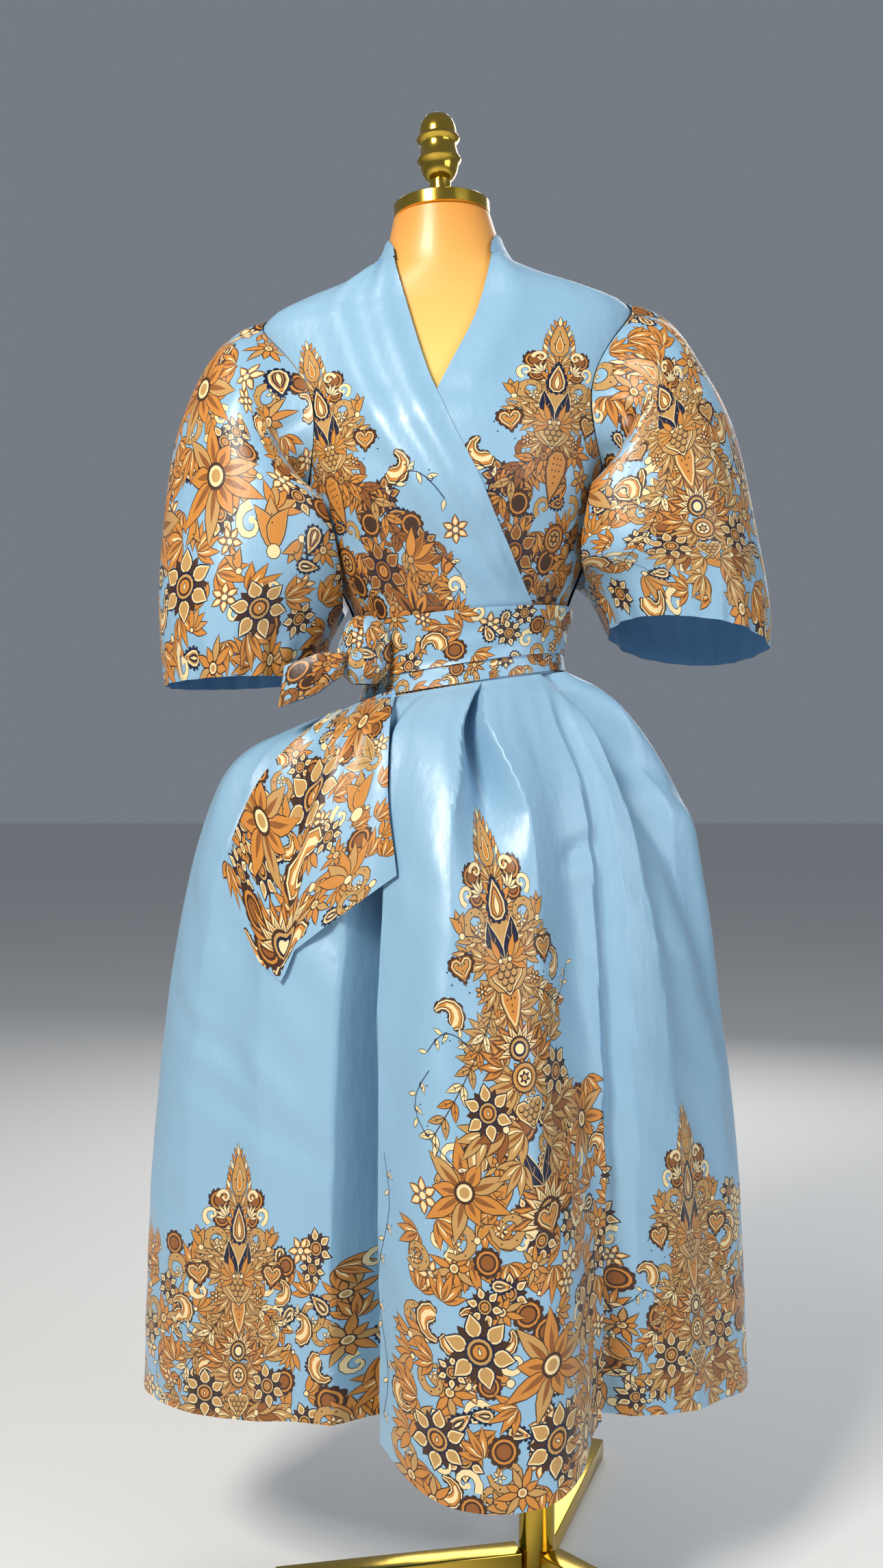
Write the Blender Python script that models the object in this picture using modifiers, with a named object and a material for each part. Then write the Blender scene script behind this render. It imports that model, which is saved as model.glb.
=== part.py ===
"""A wrap dress in stiff satin on a limbless dress form with a brass tripod stand.

Metres, +Z up, front towards -Y. The origin is the centre of the stand's hub, on the floor.
"""

import math

import bpy
import numpy as np
from mathutils import Matrix

# Driving dimensions
LEAN = math.radians(2.8)        # the form leans to the wearer's right
NECK_X, NECK_Z = -0.106, 1.510  # the point of its axis about which it leans
GAP = 0.0003                    # between pieces at a seam
CLOTH = 0.0015                  # wall of bodice, sleeve and collar
OVERLAP_RISE = 0.0038           # lift of the upper front over the lower one
SKIRT_CLOTH = 0.002
SASH_CLOTH = 0.0015

WAIST_Z = 0.973                 # waist seam, along the leaning axis
SKIRT_TOP_Z = 0.9750            # the skirt hangs from the band sewn over that seam
ARMHOLE_LOW_Z = 1.180
ARMHOLE_HIGH_Z = 1.390
ARMHOLE_SWEEP = math.radians(38)
SHOULDER_Z = 1.442              # where the collar is set on
COLLAR_HEIGHT = 0.030
WAIST_TILT = 0.012              # the waist seam and sash rise this much towards +X

SOCKET_RADIUS = 0.020
LEG_HEIGHT = 0.022
LEG_WIDTH = 0.030
LEG_LENGTH = 0.290
LEG_HEADINGS = (72, 192, 312)   # degrees in plan, from +X
POST_RADIUS = 0.0125
SOCKET_TOP = 0.088
UNDERSIDE_DROP = 0.016          # rounding of the form's underside
CAP_RADIUS = 0.0535
CAP_HEIGHT = 0.0150

# The dress form, section by section, along its leaning axis
FORM_COLUMNS = ("height", "half_width", "front", "back", "ease")
FORM = [
    (0.780, 0.140, 0.094, 0.104, 0.004),
    (0.840, 0.156, 0.104, 0.120, 0.004),
    (0.900, 0.138, 0.098, 0.108, 0.004),
    (0.955, 0.110, 0.086, 0.086, 0.004),
    (1.005, 0.099, 0.080, 0.076, 0.004),
    (1.060, 0.110, 0.090, 0.082, 0.006),
    (1.120, 0.132, 0.109, 0.092, 0.008),
    (1.190, 0.156, 0.131, 0.102, 0.008),
    (1.240, 0.170, 0.129, 0.106, 0.007),
    (1.290, 0.185, 0.109, 0.106, 0.006),
    (1.340, 0.199, 0.088, 0.096, 0.004),
    (1.376, 0.205, 0.071, 0.082, 0.003),
    (1.392, 0.194, 0.064, 0.074, 0.003),
    (1.408, 0.160, 0.061, 0.068, 0.003),
    (1.424, 0.112, 0.060, 0.064, 0.003),
    (1.442, 0.073, 0.058, 0.061, 0.004),
    (1.472, 0.0615, 0.054, 0.058, 0.004),
    (1.500, 0.0540, 0.050, 0.054, 0.004),
]

# Free edges of the two wrapped fronts: distance to +X of the form's middle, by height
WRAP_COLUMNS = ("height", "over_edge", "under_edge")
WRAP = [
    (0.973, 0.096, -0.094),
    (1.063, 0.070, -0.085),
    (1.168, 0.030, -0.060),
    (1.274, -0.017, -0.017),
    (1.300, -0.025, -0.004),
    (1.370, -0.041, 0.031),
    (1.442, -0.055, 0.052),
]

# The skirt, section by section: it leaves the leaning waist and hangs straight down
SKIRT_COLUMNS = ("height", "middle", "half_width", "front", "back", "panel")
SKIRT = [
    (0.975, -0.0825, 0.1150, 0.0934, 0.0915, 0.000),
    (0.957, -0.0950, 0.160, 0.118, 0.120, 0.004),
    (0.922, -0.1060, 0.212, 0.142, 0.160, 0.014),
    (0.860, -0.1010, 0.256, 0.166, 0.196, 0.028),
    (0.750, -0.1025, 0.287, 0.184, 0.222, 0.048),
    (0.630, -0.1035, 0.306, 0.194, 0.234, 0.062),
    (0.450, -0.1010, 0.324, 0.202, 0.242, 0.084),
    (0.200, -0.1000, 0.334, 0.206, 0.246, 0.106),
]
PANEL_AZIMUTH = math.radians(9)     # the front panel that stands proud
PANEL_SPREAD = math.radians(27)

# Hem height round the skirt, by azimuth from the front towards +X
HEM_COLUMNS = ("azimuth", "height")
HEM = [
    (-180, 0.214), (-90, 0.212), (-60, 0.222), (-36, 0.238), (-20, 0.232), (0, 0.212),
    (9, 0.206), (26, 0.222), (42, 0.238), (65, 0.224), (90, 0.212), (180, 0.214),
]

# Inverted pleats. Azimuths and widths in degrees; depth in metres at four heights
PLEAT_COLUMNS = (
    "azimuth_top", "azimuth_hem", "width_top", "width_hem", "steep",
    "depth_940", "depth_880", "depth_760", "depth_500", "depth_210",
)
PLEATS = [
    (-24.0, -21.0, 9.0, 11.0, 0.45, 0.010, 0.030, 0.064, 0.072, 0.034),
    (50.0, 43.0, 3.5, 4.0, 1.00, 0.004, 0.008, 0.012, 0.016, 0.018),
    (66.0, 72.0, 10.0, 8.0, 1.00, 0.016, 0.042, 0.018, 0.008, 0.006),
    (-62.0, -56.0, 9.0, 9.0, 1.00, 0.014, 0.032, 0.012, 0.008, 0.006),
    (104.0, 108.0, 9.0, 10.0, 1.00, 0.012, 0.032, 0.030, 0.026, 0.022),
    (140.0, 143.0, 9.0, 10.0, 1.00, 0.012, 0.034, 0.036, 0.032, 0.028),
    (180.0, 180.0, 9.0, 10.0, 1.00, 0.014, 0.036, 0.040, 0.036, 0.030),
    (-140.0, -143.0, 9.0, 10.0, 1.00, 0.012, 0.034, 0.036, 0.032, 0.028),
    (-104.0, -108.0, 9.0, 10.0, 1.00, 0.012, 0.032, 0.030, 0.026, 0.022),
]
DEPTH_HEIGHTS = (0.210, 0.500, 0.760, 0.880, 0.940, 0.975)
FRONT_PLEAT_DEPTHS = (0.0, 0.0, 0.016, 0.044, 0.024, 0.0)
FRONT_PLEAT_MIDDLE, FRONT_PLEAT_WIDTH = 11.0, 11.0

# A puffed sleeve along its run: out and height of its middle, turn of its ring, radii
SLEEVE_COLUMNS = ("run", "out", "height", "turn", "across", "deep", "gather")
SLEEVE = [
    (0.00, 0.185, 1.285, 0.0, 0.105, 0.066, 0.000),
    (0.10, 0.200, 1.276, 15.0, 0.107, 0.082, 0.004),
    (0.25, 0.200, 1.247, 38.0, 0.112, 0.100, 0.004),
    (0.45, 0.206, 1.208, 62.0, 0.112, 0.112, 0.003),
    (0.70, 0.222, 1.111, 80.0, 0.108, 0.118, 0.003),
    (0.90, 0.241, 1.042, 88.0, 0.096, 0.110, 0.004),
    (1.00, 0.248, 0.994, 90.0, 0.086, 0.100, 0.005),
]
GATHERS = 14                    # round one sleeve
HEM_LIFT = {"right": 0.000, "left": 0.034}

# The hanging sash end as seen from the front: its sides and its pointed end
TAIL_COLUMNS = ("share", "left", "right")
TAIL_SIDES = [
    (0.00, -0.222, -0.154),
    (0.25, -0.266, -0.159),
    (0.55, -0.303, -0.160),
    (1.00, -0.338, -0.150),
]
TAIL_END_COLUMNS = ("share", "top", "bottom")
TAIL_ENDS = [
    (0.00, 0.950, 0.780),
    (0.11, 0.954, 0.738),
    (0.25, 0.958, 0.690),
    (0.38, 0.961, 0.670),
    (0.45, 0.962, 0.703),
    (0.60, 0.964, 0.725),
    (1.00, 0.966, 0.780),
]

# The knot, from its top: height, half width, half depth
KNOT_X, KNOT_Y = -0.188, -0.0784
KNOT = [
    (1.048, 0.010, 0.007),
    (1.040, 0.020, 0.014),
    (1.020, 0.026, 0.019),
    (1.000, 0.027, 0.020),
    (0.986, 0.022, 0.017),
    (0.976, 0.013, 0.010),
]
LOOP_X, LOOP_Y = -0.2377, -0.0952

SATIN_BLUE = (0.42, 0.68, 0.90)
PRINT_TAN = (0.62, 0.36, 0.14)
SKIN_GOLD = (0.85, 0.55, 0.25)
BRASS = (0.78, 0.60, 0.18)


def column(table, names, name):
    return np.array([row[names.index(name)] for row in table], float)


def smooth(table, names, at, name):
    """A column of a table read at a place, on a curve through its rows."""
    return curve(column(table, names, names[0]), column(table, names, name), at)


def curve(xs, ys, at):
    """Cubic through the points that never swings past them."""
    xs, ys = np.asarray(xs, float), np.asarray(ys, float)
    if xs[0] > xs[-1]:
        xs, ys = xs[::-1], ys[::-1]
    step = np.diff(xs)
    slope = np.diff(ys) / step
    tangent = np.zeros(len(xs))
    same_way = slope[:-1] * slope[1:] > 0
    weight = (2 * step[1:] + step[:-1], step[1:] + 2 * step[:-1])
    mean = sum(weight) / (
        weight[0] / np.where(same_way, slope[:-1], 1) + weight[1] / np.where(same_way, slope[1:], 1)
    )
    tangent[1:-1] = np.where(same_way, mean, 0)
    tangent[0], tangent[-1] = slope[0], slope[-1]
    at = np.clip(at, xs[0], xs[-1])
    i = np.clip(np.searchsorted(xs, at) - 1, 0, len(step) - 1)
    t = (at - xs[i]) / step[i]
    return (
        (2 * t**3 - 3 * t**2 + 1) * ys[i]
        + (t**3 - 2 * t**2 + t) * step[i] * tangent[i]
        + (3 * t**2 - 2 * t**3) * ys[i + 1]
        + (t**3 - t**2) * step[i] * tangent[i + 1]
    )


def ease_in(t):
    t = np.clip(t, 0, 1)
    return t * t * (3 - 2 * t)


def leaned(points):
    """Points of the upright form, turned with the form on its pole."""
    points = np.asarray(points, float)
    x, y, z = points[..., 0], points[..., 1], points[..., 2] - NECK_Z
    return np.stack(
        [
            NECK_X + x * math.cos(LEAN) - z * math.sin(LEAN),
            y,
            NECK_Z + x * math.sin(LEAN) + z * math.cos(LEAN),
        ],
        -1,
    )


def form_section(azimuth, height):
    wide = smooth(FORM, FORM_COLUMNS, height, "half_width")
    front = smooth(FORM, FORM_COLUMNS, height, "front")
    back = smooth(FORM, FORM_COLUMNS, height, "back")
    deep = np.where(np.cos(azimuth) > 0, front, back)
    return np.stack(
        [wide * np.sin(azimuth), -deep * np.cos(azimuth), height + 0 * azimuth], -1
    )


def round_form(azimuth, height, off=0.0):
    """A point off the form, before it leans. The azimuth runs from the front towards +X."""
    azimuth, height = azimuth + 0 * height, height + 0 * azimuth
    step = 0.002
    around = form_section(azimuth + step, height) - form_section(azimuth - step, height)
    up = form_section(azimuth, height + step) - form_section(azimuth, height - step)
    out = np.cross(around, up)
    out /= np.linalg.norm(out, axis=-1, keepdims=True)
    return form_section(azimuth, height) + out * (off + 0 * height)[..., None]


def waist_shift(azimuth, height):
    """The rise of the tilted waist towards +X; it dies out up the bodice."""
    return WAIST_TILT * np.sin(azimuth) * ease_in((1.11 - height) / 0.12)


def ease_of(height):
    return smooth(FORM, FORM_COLUMNS, height, "ease")


def armhole_sweep(height):
    """How far the armhole reaches round from the side, at a height."""
    t = np.clip((height - ARMHOLE_LOW_Z) / (ARMHOLE_HIGH_Z - ARMHOLE_LOW_Z), 0, 1)
    return ARMHOLE_SWEEP * np.sin(math.pi * t) ** 0.6


def edge_azimuth(height, name):
    """Azimuth of a wrapped front's free edge."""
    wide = smooth(FORM, FORM_COLUMNS, height, "half_width") + ease_of(height)
    return np.arcsin(np.clip(smooth(WRAP, WRAP_COLUMNS, height, name) / wide, -0.99, 0.99))


def object_of(name, mesh, colour, roughness, metallic):
    material = bpy.data.materials.new(name)
    material.use_nodes = True
    shader = material.node_tree.nodes["Principled BSDF"]
    shader.inputs["Base Color"].default_value = (*colour, 1)
    shader.inputs["Roughness"].default_value = roughness
    shader.inputs["Metallic"].default_value = metallic
    mesh.materials.append(material)
    obj = bpy.data.objects.new(name, mesh)
    collection.objects.link(obj)
    return obj


def sheet_faces(rows, columns, closed):
    across = columns if closed else columns - 1
    return [
        (
            i * columns + j,
            i * columns + (j + 1) % columns,
            (i + 1) * columns + (j + 1) % columns,
            (i + 1) * columns + j,
        )
        for i in range(rows - 1)
        for j in range(across)
    ]


def wall(name, points, thickness, colour, closed=False, roughness=0.45):
    """A cloth piece: an open surface through rows of points, given its thickness inwards.

    Rows run downwards and each row runs from -X to +X across the front.
    """
    rows, columns = points.shape[:2]
    mesh = bpy.data.meshes.new(name)
    mesh.from_pydata(points.reshape(-1, 3).tolist(), [], sheet_faces(rows, columns, closed))
    mesh.flip_normals()
    mesh.shade_smooth()
    obj = object_of(name, mesh, colour, roughness, 0.0)
    solid = obj.modifiers.new("Thickness", "SOLIDIFY")
    solid.thickness = thickness
    solid.offset = -1
    return obj


def lofted_solid(name, points, colour, roughness, metallic):
    """A closed solid through rings of points, top ring first, with flat ends."""
    rows, columns = points.shape[:2]
    faces = sheet_faces(rows, columns, True)
    faces.append(tuple(range(columns))[::-1])
    faces.append(tuple((rows - 1) * columns + j for j in range(columns)))
    mesh = bpy.data.meshes.new(name)
    mesh.from_pydata(points.reshape(-1, 3).tolist(), [], faces)
    mesh.flip_normals()
    mesh.shade_smooth()
    mesh.set_sharp_from_angle(angle=math.radians(40))
    return object_of(name, mesh, colour, roughness, metallic)


def azimuth_grid(left, right, columns):
    """Azimuths across each row, from its left edge to its right edge."""
    share = np.linspace(0, 1, columns)
    return left[:, None] * (1 - share) + right[:, None] * share


# Dress form and stand


def dress_form():
    azimuth = np.linspace(0, 2 * math.pi, 25)[:-1]
    heights = np.concatenate([
        np.linspace(1.500, 1.442, 3), np.linspace(1.432, 1.376, 6), np.linspace(1.345, 1.005, 9),
        np.linspace(0.983, 0.960, 2), np.linspace(0.920, 0.780, 4),
    ])
    rings = [round_form(azimuth, h) for h in heights]
    underside = rings[-1].copy()
    underside[:, :2] *= 0.90
    underside[:, 2] -= UNDERSIDE_DROP
    rings.append(underside)
    lofted_solid("form_torso", leaned(np.array(rings)), SKIN_GOLD, 0.25, 0.3)


def turned(name, profile, at, sides=24):
    """A turned brass piece on the form's axis. The profile runs from its top to its foot."""
    angle = np.linspace(0, 2 * math.pi, sides + 1)[:-1]
    rings = [
        np.stack([r * np.sin(angle), -r * np.cos(angle), at + z + 0 * angle], -1)
        for r, z in profile
    ]
    lofted_solid(name, leaned(np.array(rings)), BRASS, 0.15, 1.0)


def neck_cap_and_finial():
    cap_foot = FORM[-1][0] + GAP
    turned("neck_cap", [
        (CAP_RADIUS - 0.002, CAP_HEIGHT), (CAP_RADIUS, CAP_HEIGHT - 0.002),
        (CAP_RADIUS, 0.002), (CAP_RADIUS - 0.002, 0.0),
    ], cap_foot, 32)
    turned("finial", [
        (0.004, 0.1010), (0.011, 0.0985), (0.0165, 0.0930), (0.0195, 0.0850), (0.0205, 0.0770),
        (0.0240, 0.0735), (0.0240, 0.0715), (0.0195, 0.0640), (0.0205, 0.0590), (0.0220, 0.0530),
        (0.0245, 0.0500), (0.0245, 0.0480), (0.0215, 0.0440), (0.0205, 0.0380), (0.0165, 0.0290),
        (0.0120, 0.0260), (0.0120, 0.0120), (0.0160, 0.0080), (0.0160, 0.0000),
    ], cap_foot + CAP_HEIGHT + GAP, 20)


def stand_post():
    """The pole, cut level where it stands on the socket."""
    angle = np.linspace(0, 2 * math.pi, 21)[:-1]
    x, y = POST_RADIUS * np.sin(angle), -POST_RADIUS * np.cos(angle)
    top = leaned(np.stack([x, y, 0 * angle + FORM[0][0] - UNDERSIDE_DROP - GAP], -1))
    foot = np.stack([x, y, 0 * angle + SOCKET_TOP + GAP], -1)
    lofted_solid("stand_post", np.array([top, foot]), BRASS, 0.15, 1.0)


def stand_socket():
    angle = np.linspace(0, 2 * math.pi, 25)[:-1]
    profile = [
        (SOCKET_RADIUS - 0.002, SOCKET_TOP), (SOCKET_RADIUS, SOCKET_TOP - 0.002),
        (SOCKET_RADIUS, 0.0),
    ]
    rings = [np.stack([r * np.sin(angle), -r * np.cos(angle), z + 0 * angle], -1) for r, z in profile]
    lofted_solid("stand_socket", np.array(rings), BRASS, 0.15, 1.0)


def legs():
    near = SOCKET_RADIUS + GAP
    reach = LEG_LENGTH - near
    for number, heading in enumerate(LEG_HEADINGS, 1):
        bpy.ops.mesh.primitive_cube_add(size=1)
        leg = adopt(f"base_leg_{number}")
        leg.data.transform(Matrix.Diagonal((reach, LEG_WIDTH, LEG_HEIGHT, 1)))
        middle = Matrix.Translation((near + reach / 2, 0, LEG_HEIGHT / 2))
        leg.data.transform(Matrix.Rotation(math.radians(heading), 4, "Z") @ middle)
        bevel = leg.modifiers.new("Edge", "BEVEL")
        bevel.width = 0.0015
        bevel.segments = 1


def adopt(name):
    """Names a new primitive and moves it to the dress's collection."""
    obj = bpy.context.active_object
    for other in list(obj.users_collection):
        other.objects.unlink(obj)
    mesh = obj.data
    bpy.data.objects.remove(obj)
    return object_of(name, mesh, BRASS, 0.15, 1.0)


# Bodice


def front_rows():
    return np.concatenate([
        np.linspace(SHOULDER_Z, 1.376, 6), np.linspace(1.355, ARMHOLE_LOW_Z, 7),
        np.linspace(1.145, 1.025, 4), np.linspace(1.008, WAIST_Z, 3),
    ])


def seam_slack(heights):
    """Half the angle left open at a seam."""
    return 0.0004 / smooth(FORM, FORM_COLUMNS, heights, "front")


def bodice_points(azimuth, height, off):
    return leaned(round_form(azimuth, height + waist_shift(azimuth, height), off))


def side_limit(heights):
    """Azimuth at which a front panel ends: side seam, armhole or shoulder seam."""
    return math.pi / 2 - armhole_sweep(heights) - seam_slack(heights)


def bodice_front_over():
    heights = front_rows()
    left = -side_limit(heights)
    right = edge_azimuth(heights, "over_edge")
    azimuth = azimuth_grid(left, right, 14)
    under = edge_azimuth(heights, "under_edge")
    rise = ease_in((azimuth - left[:, None]) / np.maximum(under - left, 0.3)[:, None] * 1.4)
    roll = edge_roll(azimuth, right[:, None]) * ease_in((heights - 1.058) / 0.05)[:, None]
    off = ease_of(heights)[:, None] + CLOTH + OVERLAP_RISE * rise + roll
    wall("bodice_front_over", bodice_points(azimuth, heights[:, None], off), CLOTH, SATIN_BLUE)


def edge_roll(azimuth, edge):
    """The soft fold that follows the free edge: a ridge, then a trough further in."""
    inward = np.degrees(np.abs(azimuth - edge))
    return 0.0045 * np.exp(-((inward - 9) / 5) ** 2) + 0.0035 * np.exp(-((inward - 26) / 7) ** 2)


def bodice_front_under():
    heights = front_rows()
    azimuth = azimuth_grid(edge_azimuth(heights, "under_edge"), side_limit(heights), 12)
    off = ease_of(heights)[:, None] + CLOTH
    wall("bodice_front_under", bodice_points(azimuth, heights[:, None], off), CLOTH, SATIN_BLUE)


def bodice_back():
    heights = front_rows()
    limit = armhole_sweep(heights) + seam_slack(heights)
    azimuth = azimuth_grid(math.pi / 2 + limit, 3 * math.pi / 2 - limit, 19)
    off = ease_of(heights)[:, None] + CLOTH
    wall("bodice_back", bodice_points(azimuth, heights[:, None], off), CLOTH, SATIN_BLUE)


def collar():
    """A stand round the back of the neck, from one front edge to the other."""
    heights = SHOULDER_Z + GAP + np.array([COLLAR_HEIGHT, 0.020, 0.010, 0.0])
    left = 2 * math.pi + edge_azimuth(SHOULDER_Z, "over_edge")
    right = edge_azimuth(SHOULDER_Z, "under_edge")
    ends = np.array([0.00, 0.02, 0.05, 0.05])
    azimuth = azimuth_grid(right - ends, left + ends, 27)
    off = 0.004 + CLOTH + 0.0035 * ((heights - SHOULDER_Z) / COLLAR_HEIGHT)[:, None]
    wall("collar", bodice_points(azimuth, heights[:, None], off), CLOTH, SATIN_BLUE)


# Sleeves


def clear_of_bodice(points, gap):
    """Moves points outwards where they would lie within the bodice."""
    height = np.clip(points[..., 2], FORM[0][0], SHOULDER_Z)
    read = {name: smooth(FORM, FORM_COLUMNS, height, name) for name in FORM_COLUMNS[1:]}
    above = smooth(FORM, FORM_COLUMNS, height + 0.004, "half_width")
    slope = np.minimum((read["half_width"] - above) / 0.004, 2.5)
    off = (read["ease"] + CLOTH + gap) * np.sqrt(1 + slope**2)
    wide = read["half_width"] + off
    deep = np.where(points[..., 1] < 0, read["front"], read["back"]) + off
    share = np.sqrt((points[..., 0] / wide) ** 2 + (points[..., 1] / deep) ** 2)
    grow = np.where(share < 1, 1 / np.maximum(share, 0.2), 1)
    return points * np.stack([grow, grow, np.ones_like(grow)], -1)


def armhole_point(angle, off):
    """A point round the left armhole. Angle 0 is its front, a quarter turn its top."""
    middle = (ARMHOLE_LOW_Z + ARMHOLE_HIGH_Z) / 2
    height = middle + (ARMHOLE_HIGH_Z - ARMHOLE_LOW_Z) / 2 * np.sin(angle)
    sweep = armhole_sweep(height)
    azimuth = np.where(np.cos(angle) > 0, math.pi / 2 - sweep, math.pi / 2 + sweep)
    return round_form(azimuth, height, off + ease_of(height))


def sleeve_points(side, rings, sides):
    """Rings of the left sleeve, from the armhole to the hem; the right one is its mirror."""
    run = np.linspace(0, 1, rings)[:, None] ** 1.15
    angle = np.linspace(0, 2 * math.pi, sides + 1)[None, :-1]
    read = {name: smooth(SLEEVE, SLEEVE_COLUMNS, run, name) for name in SLEEVE_COLUMNS}
    turn = np.radians(read["turn"])
    gather = 1 + read["gather"] / 0.1 * np.cos(GATHERS * angle)
    up = read["across"] * np.sin(angle) * gather
    front = read["deep"] * np.cos(angle) * gather
    lift = HEM_LIFT[side] * ease_in((run - 0.55) / 0.45) * (0.5 + 0.5 * np.cos(angle + 0.7))
    points = np.stack(
        [
            read["out"] + up * np.sin(turn),
            -front,
            read["height"] + up * np.cos(turn) + lift,
        ],
        -1,
    )
    points = clear_of_bodice(points, 0.006 + 0.004 * np.minimum(run * 4, 1))
    cuff = armhole_point(angle, CLOTH + 0.0014)
    hold = ease_in(1 - run / 0.16)[..., None]
    points = points * (1 - hold) + cuff * hold
    if side == "right":
        points = points[:, ::-1] * np.array([-1, 1, 1])
    return leaned(points)


def sleeves():
    for side in ("left", "right"):
        points = sleeve_points(side, 10, 2 * GATHERS)
        wall(f"sleeve_{side}", points[:, ::-1], CLOTH, PRINT_TAN, closed=True)


# Skirt


def pleat_depth(row, height):
    """Depth of one pleat at a height; it closes to nothing at the waist seam."""
    depths = [row[PLEAT_COLUMNS.index(f"depth_{h}")] for h in ("210", "500", "760", "880", "940")]
    return curve(DEPTH_HEIGHTS, [*depths, 0.0], height)


def pleats_at(azimuth, height):
    """How far all pleats draw the skirt in, at an azimuth in radians."""
    fall = np.clip((SKIRT_TOP_Z - height) / (SKIRT_TOP_Z - 0.21), 0, 1)
    total = 0
    for row in PLEATS:
        read = dict(zip(PLEAT_COLUMNS, row))
        middle = read["azimuth_top"] + (read["azimuth_hem"] - read["azimuth_top"]) * fall
        width = read["width_top"] + (read["width_hem"] - read["width_top"]) * fall
        away = (np.degrees(azimuth) - middle + 180) % 360 - 180
        away = np.where(away > 0, away / (width * read["steep"]), away / width)
        shape = np.cos(np.clip(away, -1, 1) * math.pi / 2) ** 2
        total = total + pleat_depth(row, height) * shape
    return total


def front_pleat(azimuth, height):
    """The inverted pleat that opens from a point at the waist, upright on its left."""
    opened = ease_in((SKIRT_TOP_Z - height) / 0.085)
    middle = 0.5 + (FRONT_PLEAT_MIDDLE - 0.5) * opened
    width = 1.5 + (FRONT_PLEAT_WIDTH - 1.5) * opened
    away = (np.degrees(azimuth) - middle + 180) % 360 - 180
    shape = np.cos(np.clip(away / width, -1, 1) * math.pi / 2) ** 2
    return shape * curve(DEPTH_HEIGHTS, FRONT_PLEAT_DEPTHS, height)


def skirt_points(azimuth, height, off=0.0, pleated=True):
    """Points of the skirt's outer side, by azimuth and height."""
    read = {name: smooth(SKIRT, SKIRT_COLUMNS, height, name) for name in SKIRT_COLUMNS[1:]}
    across, ahead = np.sin(azimuth), np.cos(azimuth)
    deep = np.where(ahead > 0, read["front"], read["back"])
    radius = 1 / np.sqrt((across / read["half_width"]) ** 2 + (ahead / deep) ** 2)
    away = np.abs(azimuth - PANEL_AZIMUTH) / PANEL_SPREAD
    panel = 1 - ease_in((away - 0.25) / 0.95)
    radius = radius + read["panel"] * panel + off
    if pleated:
        radius = radius - pleats_at(azimuth, height) - front_pleat(azimuth, height)
    rise = (math.sin(LEAN) + WAIST_TILT / read["half_width"]) * radius * across
    tilt = ease_in((height - 0.86) / (SKIRT_TOP_Z - 0.86))
    return np.stack(
        [read["middle"] + radius * across, -radius * ahead, height + rise * tilt], -1
    )


def hem_height(azimuth):
    return curve(
        column(HEM, HEM_COLUMNS, "azimuth"), column(HEM, HEM_COLUMNS, "height"), np.degrees(azimuth)
    )


def spread_azimuths(low, high, count):
    """Azimuths between two limits, closer together at each pleat."""
    fine = np.linspace(low, high, 721)
    front = (np.degrees(fine) - FRONT_PLEAT_MIDDLE + 180) % 360 - 180
    weight = 1 + 1.6 * np.exp(-((front / FRONT_PLEAT_WIDTH) ** 2))
    for row in PLEATS:
        read = dict(zip(PLEAT_COLUMNS, row))
        middle = (read["azimuth_top"] + read["azimuth_hem"]) / 2
        width = max(read["width_hem"], 5.0)
        away = (np.degrees(fine) - middle + 180) % 360 - 180
        weight += 1.6 * np.exp(-((away / width) ** 2))
    total = np.concatenate([[0], np.cumsum((weight[1:] + weight[:-1]) / 2)])
    return np.interp(np.linspace(0, total[-1], count), total, fine)


def skirt(name, low, high, columns, rows):
    azimuth = spread_azimuths(low, high, columns)[None, :]
    wrapped = (azimuth + math.pi) % (2 * math.pi) - math.pi
    fall = (np.linspace(0, 1, rows) ** 1.25)[:, None]
    height = SKIRT_TOP_Z + (hem_height(wrapped) - SKIRT_TOP_Z) * fall
    wall(name, skirt_points(azimuth, height), SKIRT_CLOTH, SATIN_BLUE)


def skirts():
    slack = 0.006
    skirt("skirt_front", -math.pi / 2 + slack, math.pi / 2 - slack, 41, 14)
    skirt("skirt_back", math.pi / 2 + slack, 3 * math.pi / 2 - slack, 31, 11)


# Sash


def band(name, low, high, off, columns=32, rows=3):
    """A band round the waist, in one turn."""
    azimuth = np.linspace(0, 2 * math.pi, columns + 1)[None, :-1]
    share = np.linspace(1, 0, rows)[:, None]
    height = low + (high - low) * share
    height = height + waist_shift(azimuth, height)
    points = round_form(azimuth, height, ease_of(height) + off)
    wall(name, leaned(points), SASH_CLOTH, PRINT_TAN, closed=True)


def sash_bands():
    band("waist_band", 0.9750, 0.9975, 0.0076)
    band("sash_band", 0.9965, 1.0560, 0.0096)


def skirt_front_point(x, height, off):
    """The point of the unpleated skirt's front that shows at x, moved out."""
    azimuth = np.linspace(-math.pi / 2, math.pi / 2, 181)
    found = []
    for one_x, one_height, one_off in zip(np.ravel(x), np.ravel(height), np.ravel(off)):
        line = skirt_points(azimuth, one_height + 0 * azimuth, one_off, pleated=False)
        found.append([np.interp(one_x, line[:, 0], line[:, i]) for i in range(3)])
    return np.array(found).reshape(*np.shape(x), 3)


def sash_tail():
    """The wide end that hangs from the knot over the skirt, cut to a point."""
    columns, rows = 11, 13
    across = np.linspace(0, 1, columns)[None, :]
    down = np.linspace(0, 1, rows)[:, None]
    top = smooth(TAIL_ENDS, TAIL_END_COLUMNS, across, "top")
    bottom = np.interp(
        across, column(TAIL_ENDS, TAIL_END_COLUMNS, "share"),
        column(TAIL_ENDS, TAIL_END_COLUMNS, "bottom"),
    )
    height = top + (bottom - top) * down
    left = smooth(TAIL_SIDES, TAIL_COLUMNS, down, "left")
    right = smooth(TAIL_SIDES, TAIL_COLUMNS, down, "right")
    x = left + (right - left) * across
    off = 0.0037 + 0.014 * (1 - down) ** 2 + 0.002 * np.cos(across * 3 * math.pi + down * 2)
    wall("sash_tail", skirt_front_point(x, height, off), 0.002, PRINT_TAN)


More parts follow.
